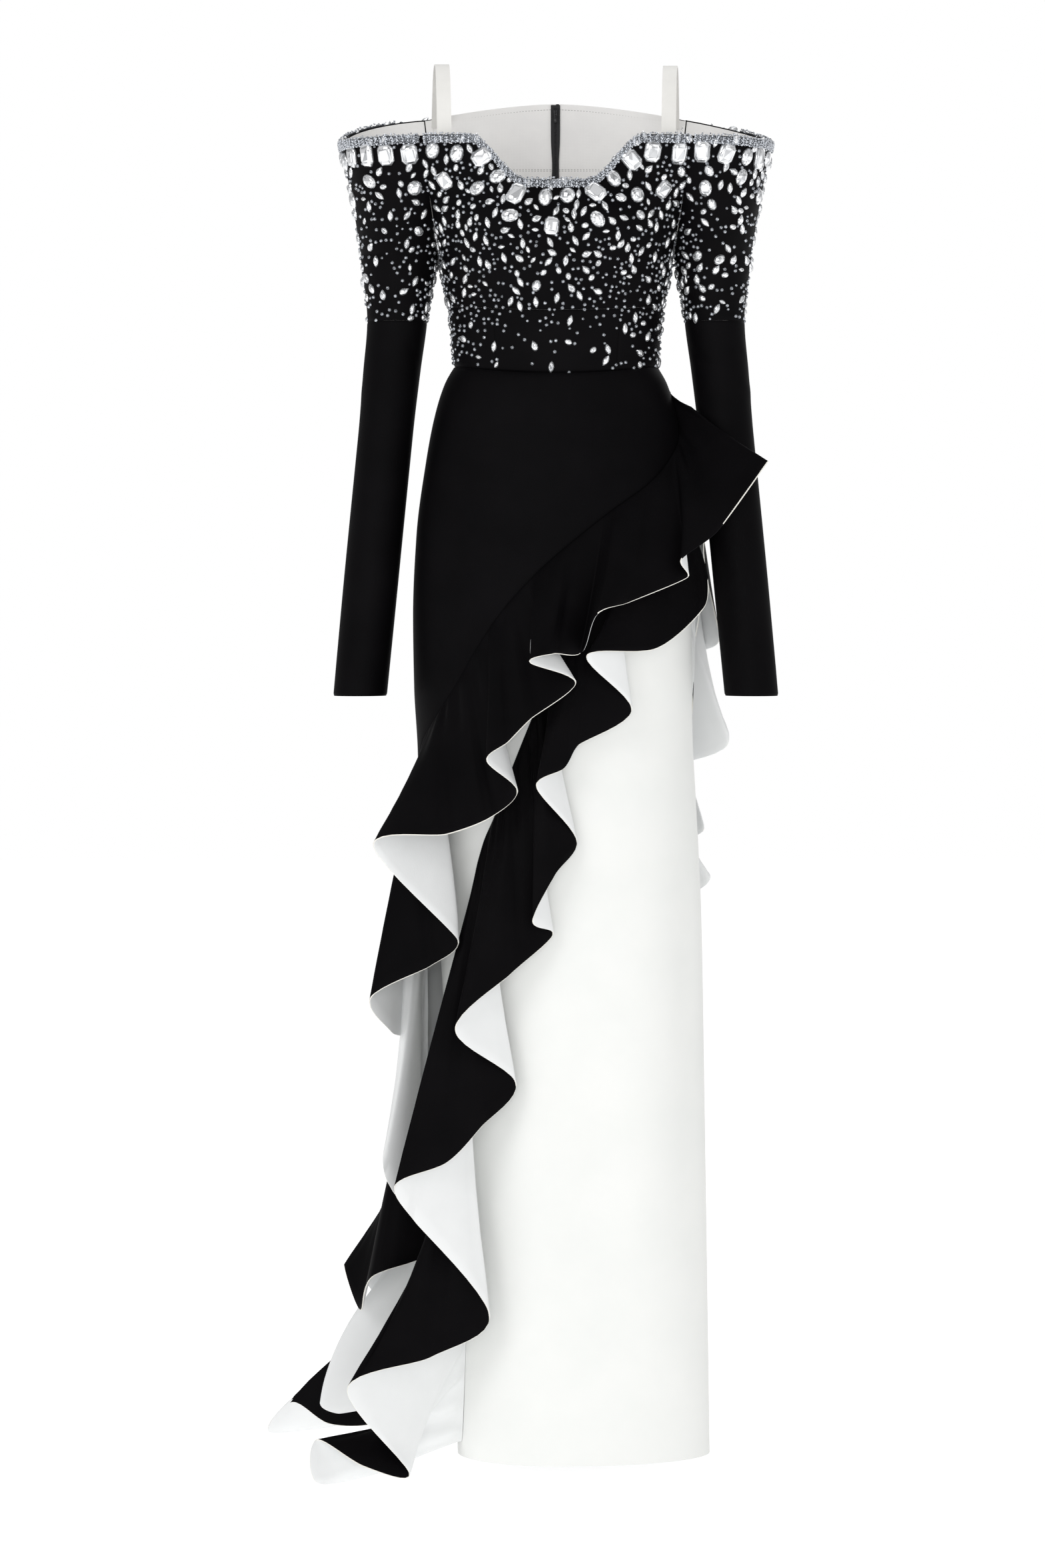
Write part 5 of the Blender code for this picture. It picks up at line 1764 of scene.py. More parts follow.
@dataclass
class Embroidery:
    """Stones and beads on the bodice, the midriff and the upper sleeves, strewn at random."""

    room: Workroom
    seed: int = 8
    clearance: float = 0.0003
    overlap: float = 0.98
    row_room_width: float = 0.36
    row_room_length: float = 0.12
    strewn_room: float = 0.25
    thinning: float = 0.36
    # Painted reflections: the darkest and brightest facet brightness of the row stones, the strewn stones and
    # the chatons.
    row_painted_light: tuple[float, float] = (0.30, 1.05)
    stone_painted_light: tuple[float, float] = (0.22, 1.0)
    chaton_painted_light: tuple[float, float] = (0.0, 0.72)
    band_rows: tuple[float, float, float] = (0.0002, 0.0094, 0.00165)
    band_start: float = 0.0009
    band_step: float = 0.0021
    band_sway: float = 0.0006
    band_crest: tuple[float, float] = (-0.0004, 0.0022)
    band_tilt: float = 0.35
    cutter: StoneCutter = field(default_factory=StoneCutter)

    def __post_init__(self) -> None:
        """Starts with no stones laid."""
        self.rng = np.random.default_rng(self.seed)
        self.taken = np.zeros((0, 4))

    def build(self, patches: dict[str, Patch]) -> None:
        """Sews stones on every patch.

        Args:
            patches: The faces, by the name of the piece of stones that each one gets.
        """
        looks = self.room.finishes
        for name, patch in patches.items():
            stones = Strewing(self.cutter, self.rng)
            chatons = Strewing(self.cutter, self.rng)
            if patch.level[0].max() < 0.5:
                for row in STONE_ROWS:
                    self._row(patch, row, stones)
            for stone in SCATTERED_STONES:
                self._scatter(patch, stone, chatons if stone.cut is Cut.CHATON else stones)
            kinds = ("stones", stones, looks.stones), ("chatons", chatons, looks.beads)
            for kind, strewing, finish in kinds:
                if strewing.points:
                    self.room.hand_over(strewing.join(f"{kind}_{name}", finish), "silver_beads")

    def _free(self, points: Array, radius: float) -> Array:
        """Checks places against the stones already laid.

        Args:
            points: The places.
            radius: The room that the stone takes.

        Returns:
            Which of them leave room for it.
        """
        if not len(self.taken):
            return np.ones(len(points), bool)
        gap = np.linalg.norm(points[:, None] - self.taken[None, :, :3], axis=-1)
        return (gap > (self.taken[None, :, 3] + radius) * self.overlap + self.clearance).all(axis=1)

    def _take(self, point: Array, radius: float) -> None:
        """Marks a stone's place as taken."""
        self.taken = np.vstack([self.taken, [*point, radius]])

    def _row(self, patch: Patch, row: StoneRow, stones: Strewing) -> None:
        """Lays a row of stones side by side below the neckline.

        Args:
            patch: Where they lie.
            row: The row.
            stones: What they are joined to.
        """
        length = patch.top_length()
        count = max(2, round(length / row.step)) * row.shared
        for k in range(count):
            stone = row.kinds[int(self.rng.integers(len(row.kinds)))]
            along = length * (k + 0.5) / count + self.rng.uniform(-row.sway, row.sway)
            drop = row.drop + self.rng.uniform(row.up, row.down)
            self._lay_one(patch, stone, stones, along, drop)

    def _lay_one(self, patch: Patch, stone: Stone, stones: Strewing, along: float, drop: float) -> None:
        """Lays a stone near the neckline, if there is room.

        Args:
            patch: Where it lies.
            stone: Its kind.
            stones: What it is joined to.
            along: How far along the top row it lies.
            drop: How far below the top row it lies.
        """
        column = patch.column_along(np.array([along]))
        centre, normal, cross = patch.at(patch.row_below(column, np.array([drop])), column)
        radius = self.row_room_width * stone.width + self.row_room_length * stone.length
        if not self._free(centre, radius)[0]:
            return
        angle = math.pi / 2 + math.radians(self.rng.uniform(-stone.lean, stone.lean))
        stones.lay(stone.cut, centre, normal, cross, stone[1:4], np.array([angle]), self.row_painted_light)
        self._take(centre[0], radius)

    def _scatter(self, patch: Patch, stone: Stone, stones: Strewing) -> None:
        """Strews one kind of stone over a patch, at the density of each place.

        Args:
            patch: Where they lie.
            stone: Their kind.
            stones: What they are joined to.
        """
        level = np.where(patch.level < 1, np.clip(patch.level, 0, 1) ** self.thinning, patch.level)
        density = np.interp(level, (0.0, 1.0, 2.0), (stone.neck, stone.bust, stone.waist))
        share = (density * patch.weight)[:-1, :-1] * patch.cell_areas() * 1e4
        wanted = self.rng.poisson(share.sum())
        if not wanted:
            return
        chosen = self.rng.choice(share.size, size=wanted * 3, p=(share / share.sum()).reshape(-1))
        row = chosen // share.shape[1] + self.rng.random(len(chosen))
        column = chosen % share.shape[1] + self.rng.random(len(chosen))
        centre, normal, cross = patch.at(row, column)
        radius = self.strewn_room * (stone.length + stone.width)
        keep = []
        for k in range(len(centre)):
            if len(keep) == wanted:
                break
            if self._free(centre[k : k + 1], radius)[0]:
                self._take(centre[k], radius)
                keep.append(k)
        lean = np.radians(self.rng.uniform(-stone.lean, stone.lean, len(keep))) + math.pi / 2
        # The painted reflection brightness of the facets.
        tone = self.chaton_painted_light if stone.cut is Cut.CHATON else self.stone_painted_light
        stones.lay(stone.cut, centre[keep], normal[keep], cross[keep], stone[1:4], lean, tone)

    def beaded_band(self, name: str, patch: Patch, solid: str) -> None:
        """A neck edge packed with seed beads, in rows that begin on the edge's top.

        Args:
            name: The piece's name.
            patch: The band's face.
            solid: The solid that the beads stand for.
        """
        beads = Strewing(self.cutter, self.rng)
        sway = self.band_sway
        for drop in np.arange(*self.band_rows):
            along = np.arange(self.band_start, patch.top_length(), self.band_step)
            along = along + self.rng.uniform(-sway, sway, len(along))
            column = patch.column_along(along)
            row = patch.row_below(column, drop + self.rng.uniform(-sway, sway, len(along)))
            centre, normal, cross = patch.at(row, column)
            if drop == self.band_rows[0]:
                centre[:, 2] += self.rng.uniform(*self.band_crest, len(along))
            normal = unit(normal + self.rng.normal(0, self.band_tilt, normal.shape))
            cross = level_with(cross, normal)
            for k, (size, tone) in enumerate(SEED_BEADS):
                part = slice(k, None, len(SEED_BEADS))
                angles = self.rng.uniform(0, math.pi, len(centre[part]))
                spans = (size, size * 0.9, size * 0.45)
                beads.lay(Cut.SEED, centre[part], normal[part], cross[part], spans, angles, tone)
        self.room.hand_over(beads.join(name, self.room.finishes.beads), "silver_beads", solid)


@dataclass
class Bodice:
    """The bodice and midriff, the sleeves, the neck bands and the lining."""

    room: Workroom
    front_columns: int = 96
    front_rows: int = 64
    front_fall: float = 0.155
    midriff_rows: int = 26
    midriff_radius: float = 0.11
    back_columns: int = 48
    back_rows: int = 80
    back_radius: float = 0.19
    back_flap: float = 0.0040
    lining_reach: float = 0.93
    sleeve_columns: int = 72
    sleeve_radius: float = 0.07
    sleeve_fall: float = 0.215
    rim_share: float = 0.991
    open_rows: int = 34
    closed_rows: int = 26
    lower_rows: int = 90
    lower_radius: float = 0.034
    band_height: float = 0.0090
    band_rise: float = 0.0016
    band_thick: float = 0.0016
    band_gap: float = 0.0006
    band_end: float = 0.0030
    band_columns: int = 240
    band_rows: int = 9
    patches: dict[str, Patch] = field(default_factory=dict)
    bands: dict[str, Patch] = field(default_factory=dict)

    def build(self) -> None:
        """Makes every piece above the waist except the straps and the zip."""
        self._front()
        self._midriff()
        self._back()
        for side in Side:
            self._upper_sleeve(side)
            self._lower_sleeve(side)

    def _cloth(self, wall: Wall, carrier: str, solid: str) -> None:
        """Hands over a piece in black crepe, lined."""
        black, lining = self.room.finishes.black, self.room.finishes.lining
        self.room.cloth(wall, (black, lining, black), "black_crepe", "stretched", [carrier], solid)

    def _front(self) -> None:
        """The front, with its cups and sweetheart neckline."""
        across = margined(-1.0, 1.0, self.front_columns, 0.006)
        top = neckline_front(across * ARMHOLE_TOP)
        heights = rows_between(top, underbust_height(across * 90) + SEAM_GAP, self.front_rows, 0.008)
        grid = cupped(bodice_place(Panel.FRONT, across, heights, NECK_SIDE))
        grid = seamed(grid, wall_normals(grid), "b")
        wall = Wall("bodice_front_panel", grid, CREPE_WALL, turned=(0, 3))
        self._cloth(wall, "sleeve_upper_left", "bodice_front")
        level = np.clip((top - heights) / self.front_fall, 0, 1)
        sides = 1 + 0.5 * smooth_step(0.8, 1.0, np.abs(across))
        self.patches["bodice"] = Patch(wall.face, wall.normals, level, sides)
        self._band("neck_band_front", wall, slice(None))

    def _midriff(self) -> None:
        """The band below the bust, in three pieces."""
        seam = math.degrees(math.asin(MIDRIFF_SEAM / MIDRIFF_HALF_WIDTH))
        gap = math.degrees(SEAM_GAP / self.midriff_radius)
        for name, first, last, columns in (
            ("midriff_side_right", -90.0, -seam, 24),
            ("midriff_front", -seam, seam, 48),
            ("midriff_side_left", seam, 90.0, 24),
        ):
            turns = margined(first + gap, last - gap, columns, 0.7)
            top, low = underbust_height(turns) - SEAM_GAP, waist_height(turns) + SEAM_GAP
            heights = rows_between(top, low, self.midriff_rows, 0.020)
            grid = bodice_place(Panel.FRONT, turns / 90, heights, NECK_SIDE)
            normals = wall_normals(grid)
            grid = with_allowance(seamed(grid, normals, "tblr"), normals)
            wall = Wall(f"{name}_panel", grid, CREPE_WALL, turned=(3, 4), turned_sides=2)
            self._cloth(wall, "bodice_front", name)
            shares = margined(0.0, 1.0, self.midriff_rows, 0.020)[:, None]
            level = 1.15 + 0.85 * shares * np.ones_like(heights)
            middle = 0.7 + 0.3 * smooth_step(15, 45, np.abs(turns))
            weight = middle * (1 + 1.3 * smooth_step(62, 90, np.abs(turns)))
            self.patches[name] = Patch(wall.face[:-1], wall.normals[:-1], level, weight)

    def _back_grid(self, first: float, last: float, columns: int, low: float, margin: float) -> Array:
        """Lays a panel of the back.

        Args:
            first: Where it starts, from 1 at the wearer's left to -1 at the right.
            last: Where it ends.
            columns: How many even columns it has.
            low: The height of its foot.
            margin: The width of the closer columns at both sides.

        Returns:
            The grid.
        """
        across = margined(first, last, columns, margin)
        heights = rows_between(neckline_back(across * ARMHOLE_TOP), low, self.back_rows, 0.005)
        return bodice_place(Panel.BACK, across, heights, NECK_BACK_ARMHOLE)

    def _back(self) -> None:
        """Two back panels that meet at the zip, the right one with a flap behind the left."""
        gap = SEAM_GAP / self.back_radius
        for side, first, last in ((Side.RIGHT, 0.0, -1.0), (Side.LEFT, 1.0, 0.0)):
            grid = self._back_grid(first - gap, last + gap, self.back_columns, WAIST + SEAM_GAP, 0.007)
            normals = wall_normals(grid)
            grid = seamed(grid, normals, "blr")
            if side is Side.RIGHT:
                inside = grid[:, :1] - normals[:, :1] * ALLOWANCE_INWARD
                grid = np.concatenate([inside + np.array([self.back_flap, 0.0, 0.0]), grid], axis=1)
            grid = with_allowance(grid, wall_normals(grid))
            name = f"bodice_back_{side.word}"
            wall = Wall(f"{name}_panel", grid, CREPE_WALL, turned=(2, 4), turned_sides=2)
            self._cloth(wall, "bodice_front", name)
            x = np.abs(grid[..., 0])
            level = np.clip((1.5 - grid[..., 2]) / 0.13, 0.35, 2.0)
            fade = np.exp(-(((x.max(axis=1, keepdims=True) - x) / 0.022) ** 2))
            weight = fade * (1 - 0.35 * smooth_step(1.0, 2.0, level))
            self.patches[name] = Patch(wall.face, wall.normals, np.maximum(level, 0.55), weight)
        self._lining()

    def _lining(self) -> None:
        """The back's lining, which shows inside the open neck."""
        grid = self._back_grid(self.lining_reach, -self.lining_reach, 96, LINING_LOW, 0.006)
        grid = grid - wall_normals(grid) * (CREPE_WALL + LAYER_GAP)
        self.room.cloth(
            Wall("bodice_lining_panel", grid, LINING_WALL), [self.room.finishes.lining] * 3,
            "ivory_crepe", "stretched", ["bodice_back_left"], "bodice_lining",
        )

    def _upper_sleeve(self, side: Side) -> None:
        """The upper sleeve, open towards the bodice above the underarm, with its rim off the shoulder.

        Args:
            side: The side that it is on.
        """
        k = margined(-1.0, 1.0, self.sleeve_columns, 0.012)
        ease = SEAM_GAP / self.sleeve_radius
        power = RIM_ROUND_LEFT if side is Side.LEFT else RIM_ROUND_RIGHT
        rim = np.where(
            k < 0,
            NECK_OUTER + (NECK_SIDE - NECK_OUTER) * k**2,
            NECK_OUTER + (NECK_BACK_ARMHOLE - NECK_OUTER) * (1 - (1 - np.abs(k)) ** power),
        )
        rows, joined = [], []
        for share in np.insert(np.linspace(1.0, 0.0, self.open_rows + 1), 1, self.rim_share):
            section = armhole_at(np.array(share))
            middle = section.seam_x - section.half_width * math.cos(section.opening) - SLEEVE_SET_IN
            shut = share < 1e-6
            angle = k * (1.0 if shut else 1.0 - ease) * section.opening
            rows.append(np.stack([
                middle + section.half_width * np.cos(angle),
                section.half_depth * np.sin(angle),
                CROTCH + share * (rim - CROTCH),
            ], -1))
            joined.append(shut)
        for height in np.linspace(CROTCH, ELBOW + SEAM_GAP, self.closed_rows + 1)[1:]:
            rows.append(self._ring(height, k))
            joined.append(True)
        grid, joined = self._for_side(np.array(rows), side), np.array(joined)
        grid = seamed(grid, wall_normals(grid, joined), "b")
        name = f"sleeve_upper_{side.word}"
        wall = Wall(f"{name}_panel", grid, CREPE_WALL, joined=joined, turned=(1, 1))
        self._cloth(wall, "bodice_front", name)
        level = np.clip((grid[0, :, 2] - grid[..., 2]) / self.sleeve_fall, 0, 1.35)
        inner = np.exp(-(((side.value * grid[..., 0] - 0.150) / 0.020) ** 2)) * smooth_step(0.35, 0.6, level)
        around = np.abs(k if side is Side.LEFT else -k[::-1])
        behind = 1 - 0.55 * smooth_step(0.02, 0.07, grid[..., 1])
        near = 1 - smooth_step(0.02, 0.30, level)
        weight = (0.60 + 0.35 * near + 0.8 * inner + 0.4 * smooth_step(0.85, 1.0, around)) * behind
        self.patches[name] = Patch(wall.face, wall.normals, level, weight)
        reach = (k <= 0.556) if side is Side.LEFT else (k >= -0.778)
        self._band(f"neck_band_{side.word}", wall, np.flatnonzero(reach))

    def _lower_sleeve(self, side: Side) -> None:
        """The plain lower sleeve, from the elbow to the cuff.

        Args:
            side: The side that it is on.
        """
        k = margined(-1.0, 1.0, self.sleeve_columns, 0.012)
        heights = margined(ELBOW - SEAM_GAP, CUFF, self.lower_rows, 0.0022)
        grid = self._for_side(np.array([self._ring(height, k) for height in heights]), side)
        joined = np.ones(len(grid), bool)
        normals = wall_normals(grid, joined)
        turns = np.linspace(-180, 180, grid.shape[1])
        grid = seamed(creased(grid, normals, turns, SLEEVE_CREASES, self.lower_radius), normals, "tb")
        name = f"sleeve_lower_{side.word}"
        wall = Wall(f"{name}_panel", grid, CREPE_WALL, joined=joined, turned=(2, 0))
        self._cloth(wall, f"sleeve_upper_{side.word}", name)

    def _ring(self, height: float, k: Array) -> Array:
        """Lays a closed ring of the sleeve.

        Args:
            height: Its height.
            k: The place of each point round it, from -1 to 1.

        Returns:
            Its points.
        """
        middle, half_width, half_depth = (table_curve(SLEEVE_RINGS, c)(height) for c in (1, 2, 3))
        angle = k * math.pi
        level = np.full(k.shape, height)
        return np.stack([middle + half_width * np.cos(angle), half_depth * np.sin(angle), level], -1)

    def _for_side(self, grid: Array, side: Side) -> Array:
        """The grid as it is for the left, or mirrored for the right with its columns reversed."""
        return grid if side is Side.LEFT else grid[:, ::-1] * np.array([-1.0, 1.0, 1.0])

    def _band(self, name: str, wall: Wall, columns: slice | Array) -> None:
        """The stiff strip under a beaded edge.

        Args:
            name: The band's solid.
            wall: The cloth whose top it runs along.
            columns: The part of the cloth that it covers.
        """
        patch = Patch(wall.face[:, columns], wall.normals[:, columns])
        along = np.linspace(self.band_end, patch.top_length() - self.band_end, self.band_columns)
        column = patch.column_along(along)
        rows = []
        for drop in np.linspace(0.0, self.band_height, self.band_rows):
            row = patch.row_below(column, np.full(len(column), max(drop - self.band_rise, 0.0)))
            points, out, _ = patch.at(row, column)
            rise = np.array([0.0, 0.0, max(self.band_rise - drop, 0.0)])
            rows.append(points + rise + out * self.band_gap)
        strip = Wall(f"{name}_strip", np.array(rows), self.band_thick, outside=1.0)
        self.room.hand_over(strip.make([self.room.finishes.beads] * 3), "silver_beads")
        self.bands[name] = Patch(strip.face, strip.normals)


@dataclass
class Trims:
    """The straps, the zip and the stitching."""

    room: Workroom
    strap_width: float = 0.016
    strap_top: float = 1.5745
    strap_feet: tuple[float, float] = (1.4790, 1.5130)
    strap_ends: tuple[float, float] = (-0.0955, 0.0920)
    strap_x: float = 0.1235
    strap_spread: float = 0.0095
    strap_crown: tuple[float, float] = (0.46, 0.54)
    strap_curve: float = 2.6
    tape_width: float = 0.0105
    tape_ends: tuple[float, float] = (1.5400, 1.4050)
    tape_columns: tuple[float, ...] = (0.5, 0.28, 0.12, 0.0, -0.12, -0.28, -0.5)
    pinch: tuple[float, float, float] = (0.28, 1.470, 0.020)
    chain_ends: tuple[float, float] = (1.4070, 1.5240)
    tooth_step: float = 0.0014
    tooth_size: tuple[float, float, float] = (0.0030, 0.0010, 0.0006)
    slider_height: float = 1.5310
    slider_size: tuple[float, float, float] = (0.0062, 0.0024, 0.0100)
    stitch: float = 0.0028
    stitch_gap: float = 0.0006
    stitch_width: float = 0.00075
    stitches_apart: float = 0.0016
    edge_stitches: float = 0.0062
    # The seams and the stay get grey stitch lines that also paint the shade along them.
    lining_seams: tuple[float, float] = (-0.0929, 0.1014)
    stay_height: float = 1.4666

    def build(self) -> None:
        """Makes the trims."""
        for side in Side:
            self._strap(side)
        self._zip()
        self._lining_stitches()

    def _strap(self, side: Side) -> None:
        """A flat strap from inside the front neckline, over a short crown, to inside the back one.

        Args:
            side: The side that it is on.
        """
        t = np.linspace(0, 1, 97)
        y = self.strap_ends[0] + (self.strap_ends[1] - self.strap_ends[0]) * t
        crown = (t > self.strap_crown[0]) & (t < self.strap_crown[1])
        rise = np.where(crown, 1.0, 1 - (np.abs(t - 0.5) / 0.5) ** self.strap_curve)
        low = np.where(t < 0.5, *self.strap_feet)
        height = low + (self.strap_top - low) * rise
        x = side.value * (self.strap_x + self.strap_spread * t)
        edges = np.linspace(0.5, -0.5, 9) * self.strap_width * side.value
        across = x[None] + side.value * edges[:, None]
        grid = np.stack([across, np.broadcast_to(y, across.shape), np.broadcast_to(height, across.shape)], -1)
        if side is Side.LEFT:
            grid = grid[::-1]
        name = f"strap_{side.word}"
        self.room.cloth(
            Wall(f"{name}_band", grid, CREPE_WALL), [self.room.finishes.strap] * 3,
            "ivory_crepe", "hung", ["bodice_front"], name,
        )

    def _zip(self) -> None:
        """The zip's tape on the lining at the back, its chain of teeth and its slider."""
        room = self.room
        inset = CREPE_WALL + LAYER_GAP + LINING_WALL + LAYER_GAP
        heights = np.linspace(*self.tape_ends, 40)[:, None]
        narrowing, middle, reach = self.pinch
        across = np.array(self.tape_columns) * self.tape_width
        x = across[None] * (1 - narrowing * np.exp(-(((heights - middle) / reach) ** 2)))
        deep = BODICE_FIGURE.back(heights) - inset
        grid = np.stack([x, np.broadcast_to(deep, x.shape), np.broadcast_to(heights, x.shape)], -1)
        room.cloth(
            Wall("zip_tape_cloth", grid, LINING_WALL), [room.finishes.tape] * 3,
            "black_crepe", "stretched", ["bodice_lining"], "zip_tape",
        )
        teeth = Strewing(StoneCutter(), np.random.default_rng(3))
        rows = np.arange(*self.chain_ends, self.tooth_step)
        places = np.stack([np.zeros(len(rows)), BODICE_FIGURE.back(rows) - inset - LINING_WALL, rows], -1)
        inward = np.broadcast_to(np.array([0.0, -1.0, 0.0]), places.shape)
        cross = np.broadcast_to(np.array([1.0, 0.0, 0.0]), places.shape)
        teeth.lay(Cut.EMERALD, places, inward, cross, self.tooth_size, np.zeros(len(rows)), (0, 1))
        room.hand_over(teeth.join("zip_chain", room.finishes.metal), "black_metal")
        self._slider(float(BODICE_FIGURE.back(np.array(self.slider_height))) - inset - LINING_WALL)

    def _slider(self, back: float) -> None:
        """The slider: a waisted body with a bail and a slim pull tab, joined as one piece.

        Args:
            back: The Y of the teeth that it rides on.
        """
        z = self.slider_height - HOLD_HEIGHT
        bpy.ops.object.select_all(action="DESELECT")
        bpy.ops.mesh.primitive_cube_add(size=1, location=(0, back - 0.0016, z))
        body = bpy.context.object
        body.name = "zip_slider_body"
        body.scale = self.slider_size
        bpy.ops.object.transform_apply(location=True, rotation=False, scale=True)
        bpy.ops.object.mode_set(mode="EDIT")
        bpy.ops.mesh.select_all(action="SELECT")
        bpy.ops.mesh.subdivide(number_cuts=3)
        bpy.ops.mesh.select_all(action="DESELECT")
        bpy.ops.object.mode_set(mode="OBJECT")
        for corner in body.data.vertices:
            corner.select = abs(corner.co.z - (z - 0.0020)) < 0.0040 and abs(corner.co.x) > 0.0030
        bpy.ops.object.mode_set(mode="EDIT")
        bpy.ops.mesh.select_mode(type="VERT")
        bpy.ops.transform.resize(value=(0.72, 1, 1), center_override=(0, back, z))
        bpy.ops.object.mode_set(mode="OBJECT")
        self._round_over(body, 0.0004)
        bpy.ops.mesh.primitive_torus_add(
            location=(0, back - 0.0032, z + 0.0012), rotation=(math.pi / 2, 0, math.pi / 2),
            major_radius=0.0021, minor_radius=0.00045, major_segments=20, minor_segments=8,
        )
        bail = bpy.context.object
        bpy.ops.mesh.primitive_cylinder_add(
            vertices=20, radius=0.0024, depth=0.0009, location=(0, back - 0.0038, z - 0.0070),
            rotation=(math.pi / 2, 0, 0),
        )
        pull = bpy.context.object
        pull.scale = (0.85, 2.1, 1.0)
        bpy.ops.object.transform_apply(location=False, rotation=True, scale=True)
        self._round_over(pull, 0.0002)
        bpy.ops.object.select_all(action="DESELECT")
        for part in (bail, pull, body):
            part.select_set(True)
        bpy.context.view_layer.objects.active = body
        bpy.ops.object.join()
        bpy.ops.object.transform_apply(location=True, rotation=True, scale=True)
        bpy.ops.object.shade_smooth_by_angle(angle=math.radians(35))
        body.data.materials.clear()
        body.data.materials.append(self.room.finishes.metal)
        self.room.hand_over(body, "black_metal", "zip_slider")

    def _round_over(self, part: bpy.types.Object, width: float) -> None:
        """Bevels the edges of the active part.

        Args:
            part: The part.
            width: The bevel's width.
        """
        bevel = part.modifiers.new("rounded", "BEVEL")
        bevel.width = width
        bevel.segments = 2
        bpy.ops.object.modifier_apply(modifier=bevel.name)

    def _lining_stitches(self) -> None:
        """The line of stitches below the lining's edge, and grey stitches at the lining's two seams and stay,
        which also paint the shade along them.
        """
        lines = [self._line(np.linspace(0.92, -0.92, 400), self.edge_stitches)]
        for x in self.lining_seams:
            for beside in (-self.stitches_apart, self.stitches_apart):
                across = (x + beside) / ARMHOLE_TOP
                top = float(neckline_back(np.array(across * ARMHOLE_TOP)))
                lines.append(self._on_lining(across, np.linspace(top - 0.004, LINING_LOW + 0.01, 60)))
        across = np.linspace(0.62, -0.62, 300)
        for height in (self.stay_height, self.stay_height - self.stitches_apart):
            lines.append(self._line(across, neckline_back(across * ARMHOLE_TOP) - height))
        run = Strewing(StoneCutter(), np.random.default_rng(4))
        for points, inward in lines:
            self._stitch(run, points, inward)
        self.room.hand_over(run.join("lining_stitches", self.room.finishes.thread), "ivory_crepe")

    def _on_lining(self, across: Array | float, height: Array) -> tuple[Array, Array]:
        """Lays a line on the lining.

        Args:
            across: -1 to 1 from one side seam to the other, for each point or for all.
            height: The height of each point.

        Returns:
            The points, and the way that faces into the gown at each.
        """
        points = bodice_place(Panel.BACK, across, height, NECK_BACK_ARMHOLE)
        inward = unit(points * np.array([-1.0, -1.0, 0.0]))
        return points + inward * (CREPE_WALL + LAYER_GAP + LINING_WALL), inward

    def _line(self, across: Array, below: Array | float) -> tuple[Array, Array]:
        """A line on the lining below its edge, with the way that faces into the gown."""
        return self._on_lining(across, neckline_back(across * ARMHOLE_TOP) - below)

    def _stitch(self, run: Strewing, points: Array, normals: Array) -> None:
        """Lays stitches end to end along a line.

        Args:
            run: What they are joined to.
            points: The points of the line.
            normals: The outward direction at each point.
        """
        along = runs(points)
        at = np.arange(self.stitch, along[-1] - self.stitch, self.stitch + self.stitch_gap)
        centre, ahead, out = (
            np.stack([np.interp(where, along, line[:, k]) for k in range(3)], -1)
            for where, line in ((at, points), (at + 0.001, points), (at, normals))
        )
        normal = unit(out)
        way = level_with(unit(ahead - centre), normal)
        size = (self.stitch, self.stitch_width, self.stitch_width * 0.6)
        run.lay(Cut.EMERALD, centre, normal, way, size, np.zeros(len(at)), (0, 1))


class Lamp(NamedTuple):
    """A square soft light: its place above the floor, where it points, its size and its watts."""

    name: str
    place: Spot
    towards: Spot
    size: float
    watts: float


STUDIO_LAMPS = (
    Lamp("key", (-2.4, -3.6, 2.7), (0, 0, 1.0), 2.0, 40.0),
    Lamp("front", (-0.2, -5.6, 1.2), (0, 0, 0.7), 1.8, 50.0),
    Lamp("top", (0, 0.6, 3.6), (0, 0, 1.0), 2.2, 18.0),
    Lamp("fill", (2.6, -3.0, 1.9), (0, 0, 0.9), 2.6, 12.0),
    Lamp("rim", (1.5, 3.0, 2.4), (0, 0, 1.0), 2.0, 12.0),
)


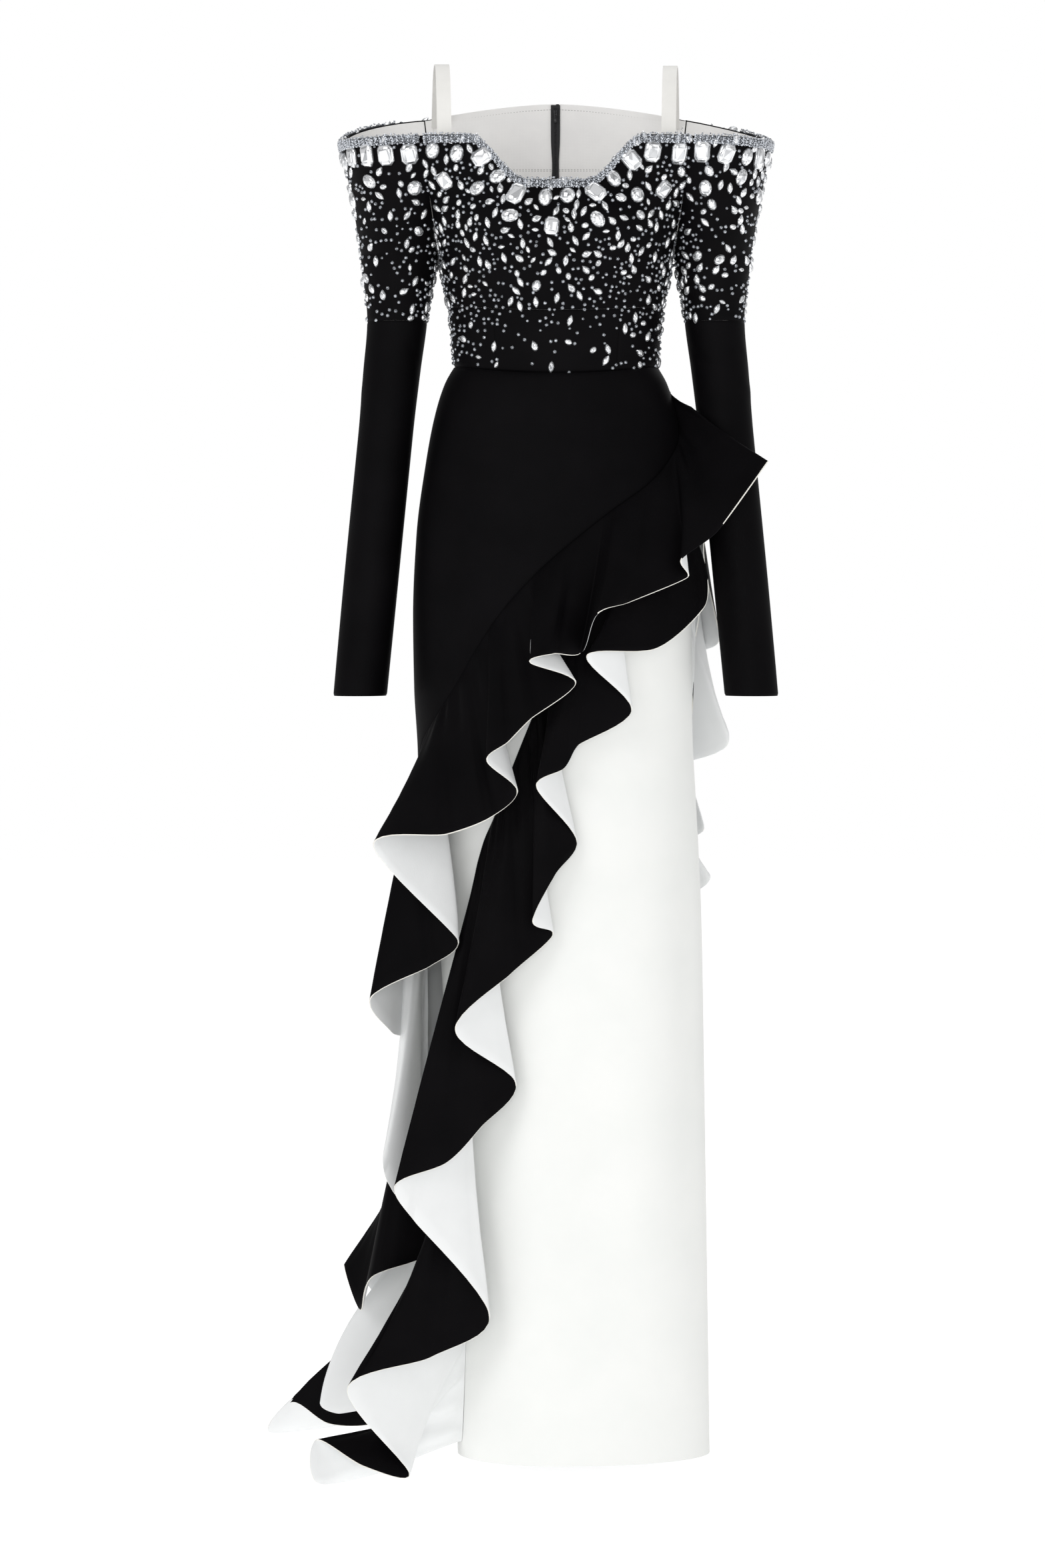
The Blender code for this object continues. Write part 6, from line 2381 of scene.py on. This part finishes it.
@dataclass
class Studio:
    """A white room: floor, soft lights and the camera of the photograph."""

    lens: float = 120.0
    eye: tuple[float, float, float] = (-0.0375, -5.88, 1.02)
    pitch_down: float = 2.43
    floor_size: float = 24.0
    ambient: float = 0.47

    def build(self) -> None:
        """Sets up the room."""
        self._camera()
        self._floor()
        self._world()
        for lamp in STUDIO_LAMPS:
            self._lamp(lamp)

    def _camera(self) -> None:
        """The photograph's camera."""
        camera = bpy.data.cameras.new("camera")
        camera.lens = self.lens
        camera.sensor_width = 36.0
        holder = bpy.data.objects.new("camera", camera)
        holder.location = (self.eye[0], self.eye[1], self.eye[2] - HOLD_HEIGHT)
        holder.rotation_euler = (math.radians(90 - self.pitch_down), 0, 0)
        bpy.context.scene.collection.objects.link(holder)
        bpy.context.scene.camera = holder

    def _floor(self) -> None:
        """A plain pale floor under the hem."""
        bpy.ops.object.select_all(action="DESELECT")
        bpy.ops.mesh.primitive_plane_add(size=self.floor_size, location=(0, 0, -HOLD_HEIGHT - 0.0005))
        floor = bpy.context.object
        floor.name = "studio_floor"
        sketch = Sketch("pale floor")
        sketch.value(
            sketch.shader, Roughness=0.9, Base_Color=(0.55, 0.55, 0.55, 1.0),
            Emission_Color=(1.0, 1.0, 1.0, 1.0), Emission_Strength=0.80,
        )
        floor.data.materials.append(sketch.material)

    def _world(self) -> None:
        """White light from all round."""
        world = bpy.data.worlds.new("studio")
        world.use_nodes = True
        tree = world.node_tree
        glow = tree.nodes["Background"]
        glow.inputs["Color"].default_value = (1.0, 1.0, 1.0, 1.0)
        glow.inputs["Strength"].default_value = self.ambient
        seen = tree.nodes.new("ShaderNodeBackground")
        seen.inputs["Color"].default_value = (1.0, 1.0, 1.0, 1.0)
        choice = tree.nodes.new("ShaderNodeMixShader")
        path = tree.nodes.new("ShaderNodeLightPath")
        tree.links.new(path.outputs["Is Camera Ray"], choice.inputs["Fac"])
        tree.links.new(glow.outputs["Background"], choice.inputs[1])
        tree.links.new(seen.outputs["Background"], choice.inputs[2])
        tree.links.new(choice.outputs["Shader"], tree.nodes["World Output"].inputs["Surface"])
        bpy.context.scene.world = world
        bpy.context.scene.view_settings.view_transform = "Standard"

    def _lamp(self, lamp: Lamp) -> None:
        """Hangs a light and turns it towards its aim.

        Args:
            lamp: The light.
        """
        light = bpy.data.lights.new(lamp.name, "AREA")
        light.size = lamp.size
        light.energy = lamp.watts
        holder = bpy.data.objects.new(lamp.name, light)
        holder.location = (*lamp.place[:2], lamp.place[2] - HOLD_HEIGHT)
        way = Vector(lamp.towards) - Vector(lamp.place)
        holder.rotation_euler = way.to_track_quat("-Z", "Y").to_euler()
        bpy.context.scene.collection.objects.link(holder)


def main() -> None:
    """Builds the gown's looks round the frame."""
    logging.basicConfig(level=logging.INFO, format="%(message)s")
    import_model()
    room = Workroom(Finishes())
    Studio().build()
    Skirts(room).build()
    bodice = Bodice(room)
    bodice.build()
    Trims(room).build()
    embroidery = Embroidery(room)
    for name, patch in bodice.bands.items():
        embroidery.beaded_band(f"{name}_beads", patch, name)
    embroidery.build(bodice.patches)


if __name__ == "__main__":
    main()
